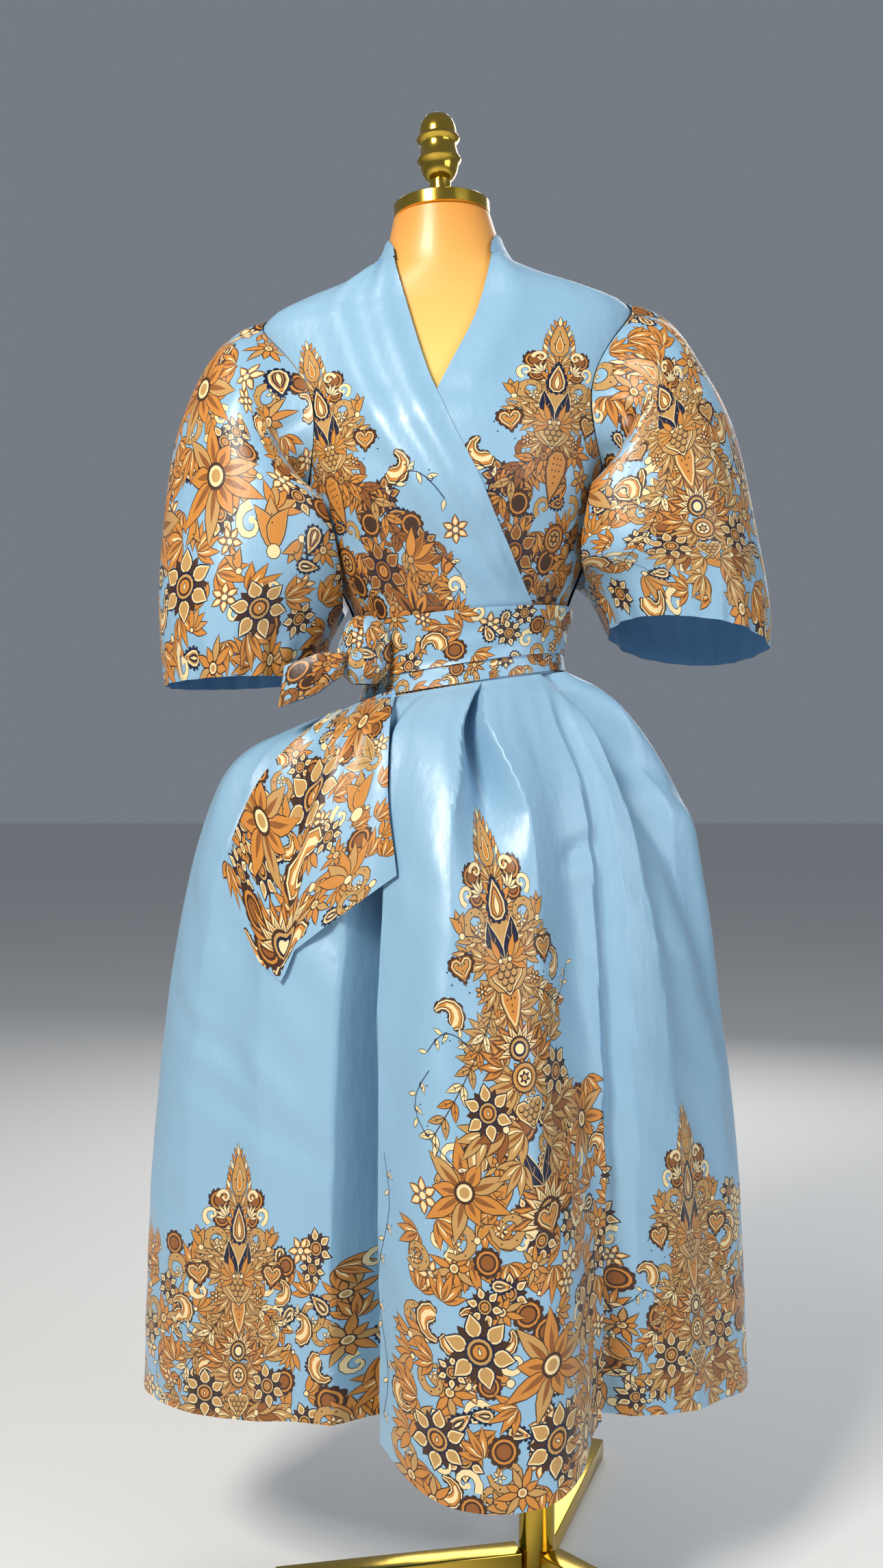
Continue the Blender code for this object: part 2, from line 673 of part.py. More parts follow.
def sash_knot():
    angle = np.linspace(0, 2 * math.pi, 13)[:-1]
    rings = [
        np.stack(
            [KNOT_X + wide * np.sin(angle), KNOT_Y - deep * np.cos(angle), height + 0 * angle], -1
        )
        for height, wide, deep in KNOT
    ]
    lofted_solid("sash_knot", np.array(rings), PRINT_TAN, 0.5, 0.0)


def sash_loop():
    """A loop of the sash that stands out beside the knot."""
    angle = np.linspace(0, 2 * math.pi, 25)[None, :-1]
    height = np.linspace(1.006, 0.962, 4)[:, None]
    fall = (1.006 - height) / 0.044
    points = np.stack(
        [
            LOOP_X - 0.006 * fall + 0.034 * np.sin(angle),
            LOOP_Y - (0.008 + 0.003 * fall) * np.cos(angle),
            height + 0.012 * np.sin(angle),
        ],
        -1,
    )
    wall("sash_loop", points, SASH_CLOTH, PRINT_TAN, closed=True)


def main():
    dress_form()
    neck_cap_and_finial()
    stand_post()
    stand_socket()
    legs()
    bodice_front_over()
    bodice_front_under()
    bodice_back()
    collar()
    sleeves()
    skirts()
    sash_bands()
    sash_tail()
    sash_knot()
    sash_loop()


for old in list(bpy.data.objects):
    bpy.data.objects.remove(old)
collection = bpy.data.collections.new("wrap_dress_on_form")
bpy.context.scene.collection.children.link(collection)
main()
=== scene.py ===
import math
import random

import bpy
import numpy as np
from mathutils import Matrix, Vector
from mathutils.geometry import delaunay_2d_cdt


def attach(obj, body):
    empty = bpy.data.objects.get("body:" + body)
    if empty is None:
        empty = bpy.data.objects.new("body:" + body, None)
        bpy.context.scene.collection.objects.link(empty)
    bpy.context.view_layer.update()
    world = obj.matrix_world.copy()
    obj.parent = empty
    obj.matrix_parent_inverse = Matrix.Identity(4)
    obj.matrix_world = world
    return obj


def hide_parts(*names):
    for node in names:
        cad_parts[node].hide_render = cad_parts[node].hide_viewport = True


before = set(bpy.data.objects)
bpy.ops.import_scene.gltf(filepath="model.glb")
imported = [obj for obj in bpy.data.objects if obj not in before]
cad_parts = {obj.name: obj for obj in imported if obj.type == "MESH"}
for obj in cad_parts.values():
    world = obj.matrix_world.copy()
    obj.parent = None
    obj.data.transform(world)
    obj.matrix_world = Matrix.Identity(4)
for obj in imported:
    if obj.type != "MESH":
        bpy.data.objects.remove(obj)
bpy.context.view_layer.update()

# measures in metres; heights above the floor end in _Z, and CLOTH is the solid's wall

LEAN = math.radians(2.8)
NECK_X, NECK_Z = -0.106, 1.510
CLOTH = 0.0015
OVERLAP_RISE = 0.0038
WAIST_Z = 0.973
SKIRT_TOP_Z = 0.9750
ARMHOLE_LOW_Z, ARMHOLE_HIGH_Z = 1.180, 1.390
ARMHOLE_SWEEP = math.radians(38)
SHOULDER_Z = 1.442
COLLAR_SHOWS = 0.027
# From the drawn cloth's face to its reverse
THICK = 0.0008
HEM_LINE_Z = 0.21
WAIST_TILT = 0.012
TILT_ENDS_Z = 0.86
TAU = 2 * math.pi

FORM_COLUMNS = ("height", "half_width", "front", "back", "ease")
FORM = [
    (0.780, 0.140, 0.094, 0.104, 0.004),
    (0.840, 0.156, 0.104, 0.120, 0.004),
    (0.900, 0.138, 0.098, 0.108, 0.004),
    (0.955, 0.110, 0.086, 0.086, 0.004),
    (1.005, 0.099, 0.080, 0.076, 0.004),
    (1.060, 0.110, 0.090, 0.082, 0.006),
    (1.120, 0.132, 0.109, 0.092, 0.008),
    (1.190, 0.156, 0.131, 0.102, 0.008),
    (1.240, 0.170, 0.129, 0.106, 0.007),
    (1.290, 0.185, 0.109, 0.106, 0.006),
    (1.340, 0.199, 0.088, 0.096, 0.004),
    (1.376, 0.205, 0.071, 0.082, 0.003),
    (1.392, 0.194, 0.064, 0.074, 0.003),
    (1.408, 0.160, 0.061, 0.068, 0.003),
    (1.424, 0.112, 0.060, 0.064, 0.003),
    (1.442, 0.073, 0.058, 0.061, 0.004),
    (1.472, 0.0615, 0.054, 0.058, 0.004),
    (1.500, 0.0540, 0.050, 0.054, 0.004),
]
WRAP_COLUMNS = ("height", "over_edge", "under_edge")
WRAP = [
    (0.973, 0.096, -0.094),
    (1.063, 0.070, -0.085),
    (1.168, 0.030, -0.060),
    (1.274, -0.017, -0.017),
    (1.300, -0.025, -0.004),
    (1.370, -0.041, 0.031),
    (1.442, -0.055, 0.052),
]
SKIRT_COLUMNS = ("height", "middle", "half_width", "front", "back", "panel")
SKIRT = [
    (0.975, -0.0825, 0.1150, 0.0934, 0.0915, 0.000),
    (0.957, -0.0950, 0.160, 0.118, 0.120, 0.004),
    (0.922, -0.1060, 0.212, 0.142, 0.160, 0.014),
    (0.860, -0.1010, 0.256, 0.166, 0.196, 0.028),
    (0.750, -0.1025, 0.287, 0.184, 0.222, 0.048),
    (0.630, -0.1035, 0.306, 0.194, 0.234, 0.062),
    (0.450, -0.1010, 0.324, 0.202, 0.242, 0.084),
    (0.200, -0.1000, 0.334, 0.206, 0.246, 0.106),
]
PANEL_AZIMUTH, PANEL_SPREAD = math.radians(9), math.radians(27)
HEM_COLUMNS = ("azimuth", "height")
HEM = [
    (-180, 0.214), (-90, 0.212), (-60, 0.222), (-36, 0.238), (-20, 0.232), (0, 0.212),
    (9, 0.206), (26, 0.222), (42, 0.238), (65, 0.224), (90, 0.212), (180, 0.214),
]
# Inverted pleats: degrees round the skirt, width in degrees, lean of the groove, depth down it
PLEAT_COLUMNS = (
    "azimuth_top", "azimuth_hem", "width_top", "width_hem", "steep",
    "depth_940", "depth_880", "depth_760", "depth_500", "depth_210",
)
PLEATS = [
    (-24.0, -21.0, 8.0, 9.5, 0.45, 0.012, 0.034, 0.070, 0.080, 0.046),
    (50.0, 43.0, 3.5, 4.0, 1.00, 0.004, 0.008, 0.012, 0.016, 0.018),
    (66.0, 72.0, 10.0, 8.0, 1.00, 0.016, 0.042, 0.018, 0.008, 0.006),
    (-62.0, -56.0, 9.0, 9.0, 1.00, 0.014, 0.032, 0.012, 0.008, 0.006),
    (104.0, 108.0, 9.0, 10.0, 1.00, 0.012, 0.032, 0.030, 0.026, 0.022),
    (140.0, 143.0, 9.0, 10.0, 1.00, 0.012, 0.034, 0.036, 0.032, 0.028),
    (180.0, 180.0, 9.0, 10.0, 1.00, 0.014, 0.036, 0.040, 0.036, 0.030),
    (-140.0, -143.0, 9.0, 10.0, 1.00, 0.012, 0.034, 0.036, 0.032, 0.028),
    (-104.0, -108.0, 9.0, 10.0, 1.00, 0.012, 0.032, 0.030, 0.026, 0.022),
]
LIP_SOFTNESS = 1.15
# Creases: from a place on the skirt to another, degrees round and height; metres wide and deep
CREASE_COLUMNS = ("from_azimuth", "from_height", "to_azimuth", "to_height", "width", "depth")
CREASES = [
    (57, 0.970, 81, 0.866, 0.022, 0.024),
    (70, 0.935, 82, 0.600, 0.026, 0.018),
    (35, 0.785, 49, 0.812, 0.012, 0.0030),
    (60, 0.720, 66, 0.690, 0.011, 0.0025),
    (-80, 0.640, -58, 0.580, 0.014, 0.0030),
    (-66, 0.556, -34, 0.473, 0.016, 0.0036),
    (-62, 0.598, -37, 0.492, 0.013, 0.0024),
    (-50, 0.800, -31, 0.690, 0.020, 0.0050),
    (-72, 0.950, -68, 0.800, 0.022, 0.0100),
    (-6, 0.760, -13, 0.520, 0.024, 0.0040),
    (28, 0.640, 21, 0.420, 0.026, 0.0040),
    (112, 0.900, 124, 0.620, 0.022, 0.0080),
    (158, 0.930, 166, 0.700, 0.020, 0.0070),
    (150, 0.520, 126, 0.430, 0.016, 0.0040),
    (172, 0.640, 150, 0.575, 0.014, 0.0030),
    (202, 0.920, 194, 0.660, 0.020, 0.0060),
    (238, 0.890, 230, 0.600, 0.022, 0.0080),
    (210, 0.560, 233, 0.460, 0.016, 0.0040),
    (252, 0.700, 236, 0.655, 0.014, 0.0030),
]
# Height share and place of the low ridge beside a crease, in its widths
RIDGE_SHARE, RIDGE_PLACE = 0.4, 1.7
DEPTH_HEIGHTS = (0.210, 0.500, 0.760, 0.880, 0.940, 0.975)
# The front pleat opens from a point at the waist; degrees round the skirt, depths at the heights above
FRONT_PLEAT_DEPTHS = (0.0, 0.0, 0.012, 0.052, 0.040, 0.0)
FRONT_PLEAT_MIDDLE, FRONT_PLEAT_POINT, FRONT_PLEAT_SPREAD = 13.0, 1.5, 10.0
FRONT_PLEAT_OPENS, FRONT_PLEAT_LIP = 0.135, 1.3
# How near the side seam the folds fade, as a cosine
SEAM_FADE = 0.18
SLEEVE_COLUMNS = ("run", "out", "height", "turn", "across", "deep")
SLEEVE = [
    (0.00, 0.185, 1.285, 0.0, 0.105, 0.066),
    (0.10, 0.200, 1.276, 15.0, 0.107, 0.082),
    (0.25, 0.200, 1.247, 38.0, 0.112, 0.100),
    (0.45, 0.206, 1.208, 62.0, 0.112, 0.112),
    (0.70, 0.222, 1.111, 80.0, 0.108, 0.118),
    (0.90, 0.241, 1.042, 88.0, 0.096, 0.110),
    (1.00, 0.248, 0.994, 90.0, 0.086, 0.100),
]
GATHERS = 14
HEM_LIFT = {"right": 0.000, "left": 0.044}
TAIL_COLUMNS = ("share", "left", "right")
TAIL_SIDES = [
    (0.00, -0.222, -0.154), (0.25, -0.266, -0.159), (0.55, -0.303, -0.160), (1.00, -0.338, -0.150),
]
TAIL_END_COLUMNS = ("share", "top", "bottom")
TAIL_ENDS = [
    (0.00, 0.962, 0.780), (0.11, 0.966, 0.738), (0.25, 0.970, 0.690), (0.38, 0.973, 0.670),
    (0.45, 0.975, 0.703), (0.60, 0.977, 0.725), (1.00, 0.980, 0.780),
]
KNOT_X, KNOT_Y = -0.188, -0.0784
KNOT_R, KNOT_FOOT_Z, KNOT_TALL = 0.026, 0.976, 0.072
KNOT_COLUMNS = ("height", "wide", "deep")
KNOT = [
    (1.048, 0.010, 0.007), (1.040, 0.020, 0.014), (1.020, 0.026, 0.019),
    (1.000, 0.027, 0.020), (0.986, 0.022, 0.017), (0.976, 0.013, 0.010),
]
LOOP_X, LOOP_Y = -0.2377, -0.0952
LOOP_R, LOOP_Z, LOOP_TALL = 0.024, 0.984, 0.044
TAIL_WIDE, TAIL_LONG, TAIL_STEPS = 0.19, 0.27, 40

# curves and sections


def column(table, names, name):
    return np.array([row[names.index(name)] for row in table], float)


def smooth(table, names, at, name):
    """A column of a table at any value of its first one."""
    return curve(column(table, names, names[0]), column(table, names, name), at)


def curve(xs, ys, at):
    """Cubic through the points that never swings past them."""
    xs, ys = np.asarray(xs, float), np.asarray(ys, float)
    if xs[0] > xs[-1]:
        xs, ys = xs[::-1], ys[::-1]
    step = np.diff(xs)
    slope = np.diff(ys) / step
    tangent = np.zeros(len(xs))
    same_way = slope[:-1] * slope[1:] > 0
    weight = (2 * step[1:] + step[:-1], step[1:] + 2 * step[:-1])
    mean = sum(weight) / (
        weight[0] / np.where(same_way, slope[:-1], 1) + weight[1] / np.where(same_way, slope[1:], 1)
    )
    tangent[1:-1] = np.where(same_way, mean, 0)
    tangent[0], tangent[-1] = slope[0], slope[-1]
    at = np.clip(at, xs[0], xs[-1])
    i = np.clip(np.searchsorted(xs, at) - 1, 0, len(step) - 1)
    t = (at - xs[i]) / step[i]
    return (
        (2 * t**3 - 3 * t**2 + 1) * ys[i]
        + (t**3 - 2 * t**2 + t) * step[i] * tangent[i]
        + (3 * t**2 - 2 * t**3) * ys[i + 1]
        + (t**3 - t**2) * step[i] * tangent[i + 1]
    )


def ease_in(t):
    t = np.clip(t, 0, 1)
    return t * t * (3 - 2 * t)


def ripple(u, v, seed, size, stretch=1.0):
    """Soft uneven swell of about plus or minus one; stretch lengthens it along v."""
    rng = np.random.default_rng(seed)
    total = 0
    for _ in range(6):
        turn, start = rng.uniform(0, math.pi), rng.uniform(0, TAU)
        wave = TAU / (size * rng.uniform(0.7, 1.6))
        total = total + np.sin(wave * (math.cos(turn) * u + math.sin(turn) * v / stretch) + start)
    return total / 2.6


def leaned(points):
    """Points of the upright form, turned with its lean."""
    x, y, z = points[..., 0], points[..., 1], points[..., 2] - NECK_Z
    return np.stack(
        [
            NECK_X + x * math.cos(LEAN) - z * math.sin(LEAN),
            y,
            NECK_Z + x * math.sin(LEAN) + z * math.cos(LEAN),
        ],
        -1,
    )


def form_section(azimuth, height):
    """The form's outline at a height; azimuth 0 is its front."""
    wide = smooth(FORM, FORM_COLUMNS, height, "half_width")
    front = smooth(FORM, FORM_COLUMNS, height, "front")
    back = smooth(FORM, FORM_COLUMNS, height, "back")
    deep = np.where(np.cos(azimuth) > 0, front, back)
    return np.stack([wide * np.sin(azimuth), -deep * np.cos(azimuth), height + 0 * azimuth], -1)


def round_form(azimuth, height, off=0.0):
    """The form's surface, moved out by a distance."""
    azimuth, height = azimuth + 0 * height, height + 0 * azimuth
    step = 0.002
    around = form_section(azimuth + step, height) - form_section(azimuth - step, height)
    up = form_section(azimuth, height + step) - form_section(azimuth, height - step)
    out = np.cross(around, up)
    out /= np.linalg.norm(out, axis=-1, keepdims=True)
    return form_section(azimuth, height) + out * (off + 0 * height)[..., None]


def waist_shift(azimuth, height):
    """How far the waistline rises towards the wearer's left."""
    return WAIST_TILT * np.sin(azimuth) * ease_in((1.11 - height) / 0.12)


def ease_of(height):
    return smooth(FORM, FORM_COLUMNS, height, "ease")


def armhole_sweep(height):
    t = np.clip((height - ARMHOLE_LOW_Z) / (ARMHOLE_HIGH_Z - ARMHOLE_LOW_Z), 0, 1)
    return ARMHOLE_SWEEP * np.sin(math.pi * t) ** 0.6


def edge_azimuth(height, name):
    wide = smooth(FORM, FORM_COLUMNS, height, "half_width") + ease_of(height)
    return np.arcsin(np.clip(smooth(WRAP, WRAP_COLUMNS, height, name) / wide, -0.99, 0.99))


def seam_slack(height):
    """A gap of 0.4 mm at the side seam, as an angle."""
    return 0.0004 / smooth(FORM, FORM_COLUMNS, height, "front")


def side_limit(height):
    return math.pi / 2 - armhole_sweep(height) - seam_slack(height)


# surfaces of the cloth: each takes (u, v) in metres on the cloth, v running up, and gives points
# in the frame

# The radii turn metres on the cloth into an angle round it
BODICE_R, COLLAR_R, SKIRT_R, SLEEVE_R, BAND_R = 0.15, 0.07, 0.30, 0.105, 0.115
SLEEVE_RUN = 0.34


def over_surface(u, v):
    """The right front, with the rolled edge of its lapel."""
    azimuth, height = u / BODICE_R, v
    left, right = -side_limit(height), edge_azimuth(height, "over_edge")
    under = edge_azimuth(height, "under_edge")
    rise = ease_in((azimuth - left) / np.maximum(under - left, 0.3) * 1.4)
    inward = np.degrees(np.abs(azimuth - right))
    fade = ease_in((height - 1.058) / 0.05)
    roll = 0.0050 * np.exp(-((inward - 8) / 4.5) ** 2) + 0.0042 * np.exp(-((inward - 23) / 5) ** 2)
    roll -= 0.0016 * np.exp(-((inward - 15) / 4) ** 2)
    soft = 0.0011 * ripple(u + 0.6 * v, v, 3, 0.07, 2.5) * fade
    off = ease_of(height) + CLOTH + OVERLAP_RISE * rise + roll * fade + np.maximum(soft, -0.0012)
    return leaned(round_form(azimuth, height + waist_shift(azimuth, height), off))


def under_surface(u, v):
    """The left front, rolled only where the right one doesn't cover it."""
    azimuth, height = u / BODICE_R, v
    inward = np.degrees(np.abs(azimuth - edge_azimuth(height, "under_edge")))
    open_part = ease_in((height - 1.27) / 0.02)
    roll = open_part * 0.0035 * np.exp(-((inward - 10) / 6) ** 2)
    soft = 0.0008 * ripple(u - 0.5 * v, v, 4, 0.07, 2.5)
    off = ease_of(height) + CLOTH + roll + np.clip(soft, -0.0008, 0.0006)
    return leaned(round_form(azimuth, height + waist_shift(azimuth, height), off))


def back_surface(u, v):
    """The back, with a soft blouse above the sash."""
    azimuth, height = u / BODICE_R, v
    middle = np.degrees(azimuth) - 180
    blouse = ease_in((height - 1.02) / 0.05) * (1 - ease_in((height - 1.2) / 0.1))
    folds = 0.0022 * blouse * np.cos(middle / 7.0) + 0.0012 * ripple(u, v, 5, 0.08, 2.5)
    off = ease_of(height) + CLOTH + np.maximum(folds, -0.0015)
    return leaned(round_form(azimuth, height + waist_shift(azimuth, height), off))


def collar_surface(u, v):
    """The stand grows out of the shoulder's edge and closes in on the neck."""
    azimuth, height = u / COLLAR_R, SHOULDER_Z + 0.0003 + v
    foot = ease_of(SHOULDER_Z) + 0.5 * OVERLAP_RISE * (azimuth > math.pi)
    off = CLOTH + foot + (0.0020 - foot) * ease_in(v / COLLAR_SHOWS)
    return leaned(round_form(azimuth, height, off))


def band_surface(off, seed, crease):
    """A ring round the waist with fine lengthwise creases."""
    def surface(u, v):
        azimuth, height = u / BAND_R, v
        height = height + waist_shift(azimuth, height)
        folds = crease * np.sin(v * 210 + 1.6 * np.sin(azimuth * 3 + seed)) * np.cos(azimuth * 2.3)
        return leaned(round_form(azimuth, height, ease_of(height) + off + folds))

    return surface


def clear_of_bodice(points, gap):
    """Points, moved out where they would lie inside the dressed bodice."""
    height = np.clip(points[..., 2], FORM[0][0], SHOULDER_Z)
    read = {name: smooth(FORM, FORM_COLUMNS, height, name) for name in FORM_COLUMNS[1:]}
    above = smooth(FORM, FORM_COLUMNS, height + 0.004, "half_width")
    slope = np.minimum((read["half_width"] - above) / 0.004, 2.5)
    off = (read["ease"] + CLOTH + gap) * np.sqrt(1 + slope**2)
    wide = read["half_width"] + off
    deep = np.where(points[..., 1] < 0, read["front"], read["back"]) + off
    share = np.sqrt((points[..., 0] / wide) ** 2 + (points[..., 1] / deep) ** 2)
    grow = np.where(share < 1, 1 / np.maximum(share, 0.2), 1)
    return points * np.stack([grow, grow, np.ones_like(grow)], -1)


def armhole_point(angle, off):
    """The line along which the sleeve is sewn in."""
    middle = (ARMHOLE_LOW_Z + ARMHOLE_HIGH_Z) / 2
    height = middle + (ARMHOLE_HIGH_Z - ARMHOLE_LOW_Z) / 2 * np.sin(angle)
    sweep = armhole_sweep(height)
    azimuth = np.where(np.cos(angle) > 0, math.pi / 2 - sweep, math.pi / 2 + sweep)
    return round_form(azimuth, height, off + ease_of(height))


def sleeve_surface(side):
    """u goes round from the underarm, v down from the armhole (negative)."""

    def surface(u, v):
        run = np.clip(-v / SLEEVE_RUN, 0, 1)
        angle = (TAU * SLEEVE_R - u if side == "right" else u) / SLEEVE_R - math.pi / 2
        read = {name: smooth(SLEEVE, SLEEVE_COLUMNS, run, name) for name in SLEEVE_COLUMNS[1:]}
        turn = np.radians(read["turn"])
        near_top = np.exp(-run / 0.16) * ease_in(run / 0.05)
        near_hem = ease_in((run - 0.86) / 0.14)
        wander = angle + 0.10 * np.sin(run * 7 + 2 * angle)
        gather = near_top * (
            0.038 * np.cos(GATHERS * wander) + 0.020 * np.cos(23 * wander + 1.0)
        ) + near_hem * 0.022 * np.cos(17 * wander + 0.6)
        gather = gather + 0.036 * ease_in(run / 0.3) * ripple(u, v, 11 + len(side), 0.13, 1.8)
        up = read["across"] * np.sin(angle) * (1 + gather)
        front = read["deep"] * np.cos(angle) * (1 + gather)
        lift = HEM_LIFT[side] * ease_in((run - 0.55) / 0.45) * (0.5 + 0.5 * np.cos(angle + 0.7))
        points = np.stack(
            [read["out"] + up * np.sin(turn), -front, read["height"] + up * np.cos(turn) + lift], -1
        )
        points = clear_of_bodice(points, 0.006 + 0.004 * np.minimum(run * 4, 1))
        cuff = armhole_point(angle, CLOTH + 0.0014)
        hold = ease_in(1 - run / 0.16)[..., None]
        points = points * (1 - hold) + cuff * hold
        if side == "right":
            points = points * np.array([-1, 1, 1])
        return leaned(points)

    return surface


def pleats_at(azimuth, height):
    """How far the pleats sink into the skirt."""
    fall = np.clip((SKIRT_TOP_Z - height) / (SKIRT_TOP_Z - HEM_LINE_Z), 0, 1)
    total = 0
    for row in PLEATS:
        read = dict(zip(PLEAT_COLUMNS, row))
        middle = read["azimuth_top"] + (read["azimuth_hem"] - read["azimuth_top"]) * fall
        width = read["width_top"] + (read["width_hem"] - read["width_top"]) * fall
        away = (np.degrees(azimuth) - middle + 180) % 360 - 180
        away = np.where(away > 0, away / (width * read["steep"]), away / width)
        shape = np.cos(np.clip(away, -1, 1) * math.pi / 2) ** LIP_SOFTNESS
        depths = [read[f"depth_{h}"] for h in ("210", "500", "760", "880", "940")]
        total = total + curve(DEPTH_HEIGHTS, [*depths, 0.0], height) * shape
    return total


def front_pleat(azimuth, height):
    """How far the pleat that opens below the waist sinks in."""
    opened = np.clip((SKIRT_TOP_Z - height) / FRONT_PLEAT_OPENS, 0, 1)
    width = FRONT_PLEAT_POINT + FRONT_PLEAT_SPREAD * opened
    away = ((np.degrees(azimuth) - FRONT_PLEAT_MIDDLE + 180) % 360 - 180) / width
    shape = np.cos(np.clip(away, -1, 1) * math.pi / 2)
    return shape**FRONT_PLEAT_LIP * curve(DEPTH_HEIGHTS, FRONT_PLEAT_DEPTHS, height)


def creases(u, v):
    """How far the skirt's creases sink, each in a low ridge on both sides."""
    place, total = u + 1j * v, 0
    for row in CREASES:
        read = dict(zip(CREASE_COLUMNS, row))
        start = complex(math.radians(read["from_azimuth"]) * SKIRT_R, read["from_height"])
        end = complex(math.radians(read["to_azimuth"]) * SKIRT_R, read["to_height"])
        along = ((place - start) * (end - start).conjugate()).real / abs(end - start) ** 2
        along = np.clip(along, 0, 1)
        away = np.abs(place - start - (end - start) * along) / read["width"]
        taper = np.sin(math.pi * np.clip(along, 0.04, 0.96)) ** 0.6
        ridge = RIDGE_SHARE * np.exp(-((away - RIDGE_PLACE) ** 2))
        total = total + read["depth"] * taper * (np.exp(-away**2) - ridge)
    return total


def skirt_points(azimuth, height, off=0.0, pleated=True):
    """The skirt's outline at a height, with its front panel, pleats and slanting waist."""
    read = {name: smooth(SKIRT, SKIRT_COLUMNS, height, name) for name in SKIRT_COLUMNS[1:]}
    across, ahead = np.sin(azimuth), np.cos(azimuth)
    deep = np.where(ahead > 0, read["front"], read["back"])
    radius = 1 / np.sqrt((across / read["half_width"]) ** 2 + (ahead / deep) ** 2)
    away = np.abs(azimuth - PANEL_AZIMUTH) / PANEL_SPREAD
    panel = 1 - ease_in((away - 0.25) / 0.95)
    radius = radius + read["panel"] * panel + off
    if pleated:
        radius = radius - pleats_at(azimuth, height) - front_pleat(azimuth, height)
    rise = (math.sin(LEAN) + WAIST_TILT / read["half_width"]) * radius * across
    tilt = ease_in((height - TILT_ENDS_Z) / (SKIRT_TOP_Z - TILT_ENDS_Z))
    return np.stack([read["middle"] + radius * across, -radius * ahead, height + rise * tilt], -1)


def hem_height(azimuth):
    wrapped = (np.degrees(azimuth) + 180) % 360 - 180
    return curve(column(HEM, HEM_COLUMNS, "azimuth"), column(HEM, HEM_COLUMNS, "height"), wrapped)


def skirt_surface(u, v):
    """v is the height down to HEM_LINE_Z, where the hem's own height is reached."""
    azimuth = u / SKIRT_R
    fall = (SKIRT_TOP_Z - v) / (SKIRT_TOP_Z - HEM_LINE_Z)
    height = SKIRT_TOP_Z + (hem_height(azimuth) - SKIRT_TOP_Z) * fall
    grown_in = ease_in(fall * 2.2)
    fine = 0.0035 * np.exp(-(((fall - 0.06) / 0.07) ** 2)) * np.cos(azimuth * 38)
    behind = ease_in((np.abs(azimuth) - 1.2) / 0.5)
    fine = fine * ease_in(fall / 0.03) * (0.12 + 0.88 * behind)
    soft = 0.0038 * grown_in * ripple(u, v, 21, 0.20, 3.0)
    soft = soft + 0.0010 * grown_in * ripple(u + v, v, 22, 0.08, 2.0)
    from_seam = ease_in(np.abs(np.cos(azimuth)) / SEAM_FADE)
    return skirt_points(azimuth, height, (fine + soft - creases(u, v)) * from_seam)


def skirt_front_point(x, height, off):
    """Points in front of the smooth skirt at the given x and height."""
    azimuth = np.linspace(-math.pi / 2, math.pi / 2, 181)
    found = []
    for one_x, one_height, one_off in zip(np.ravel(x), np.ravel(height), np.ravel(off)):
        line = skirt_points(azimuth, one_height + 0 * azimuth, one_off, pleated=False)
        found.append([np.interp(one_x, line[:, 0], line[:, i]) for i in range(3)])
    return np.array(found).reshape(*np.shape(x), 3)


def tail_grid():
    """The hanging end on a lattice that the finer surface is read from."""
    across = np.linspace(0, 1, TAIL_STEPS + 1)[None, :]
    down = np.linspace(0, 1, TAIL_STEPS + 1)[:, None]
    top = smooth(TAIL_ENDS, TAIL_END_COLUMNS, across, "top")
    bottom = np.interp(
        across, column(TAIL_ENDS, TAIL_END_COLUMNS, "share"),
        column(TAIL_ENDS, TAIL_END_COLUMNS, "bottom"),
    )
    height = top + (bottom - top) * down
    left = smooth(TAIL_SIDES, TAIL_COLUMNS, down, "left")
    right = smooth(TAIL_SIDES, TAIL_COLUMNS, down, "right")
    x = left + (right - left) * across
    pinch = (1 - down) ** 2
    off = 0.0045 + 0.015 * pinch + 0.002 * np.cos(across * 3 * math.pi + down * 2)
    off = off + 0.005 * pinch * np.cos(across * 5 * math.pi + 0.5)
    off = off + 0.003 * np.exp(-(((across - 0.55 + 0.35 * down) / 0.06) ** 2)) * (1 - 0.5 * down)
    return skirt_front_point(x, height, off)


TAIL_GRID = tail_grid()


def tail_surface(u, v):
    """u across from the left side, v down from the knot (negative)."""
    across = np.clip(u / TAIL_WIDE, 0, 1) * TAIL_STEPS
    down = np.clip(-v / TAIL_LONG, 0, 1) * TAIL_STEPS
    i = np.minimum(down.astype(int), TAIL_STEPS - 1)
    j = np.minimum(across.astype(int), TAIL_STEPS - 1)
    s, t = (down - i)[..., None], (across - j)[..., None]
    g = TAIL_GRID
    return (
        g[i, j] * (1 - s) * (1 - t) + g[i + 1, j] * s * (1 - t)
        + g[i, j + 1] * (1 - s) * t + g[i + 1, j + 1] * s * t
    )


def knot_surface(u, v):
    """u round the knot, v its height above its foot; a wrap lies over its left half."""
    angle, share = u / KNOT_R, np.clip(v / KNOT_TALL, 0, 1)
    height = KNOT_FOOT_Z + KNOT_TALL * share
    wide = smooth(KNOT, KNOT_COLUMNS, height, "wide")
    deep = smooth(KNOT, KNOT_COLUMNS, height, "deep")
    slant = angle + 0.9 * (share - 0.5)
    folds = 0.10 * np.cos(3 * slant + 0.4) + 0.05 * np.cos(8 * slant + 2 * share)
    waist = 0.10 * np.exp(-(((share - 0.45) / 0.16) ** 2)) * np.cos(angle - 0.6)
    fold = 1 + folds * ease_in(share / 0.2) * ease_in((1 - share) / 0.2) - waist
    return np.stack(
        [KNOT_X + wide * fold * np.sin(angle), KNOT_Y - deep * fold * np.cos(angle), height], -1
    )


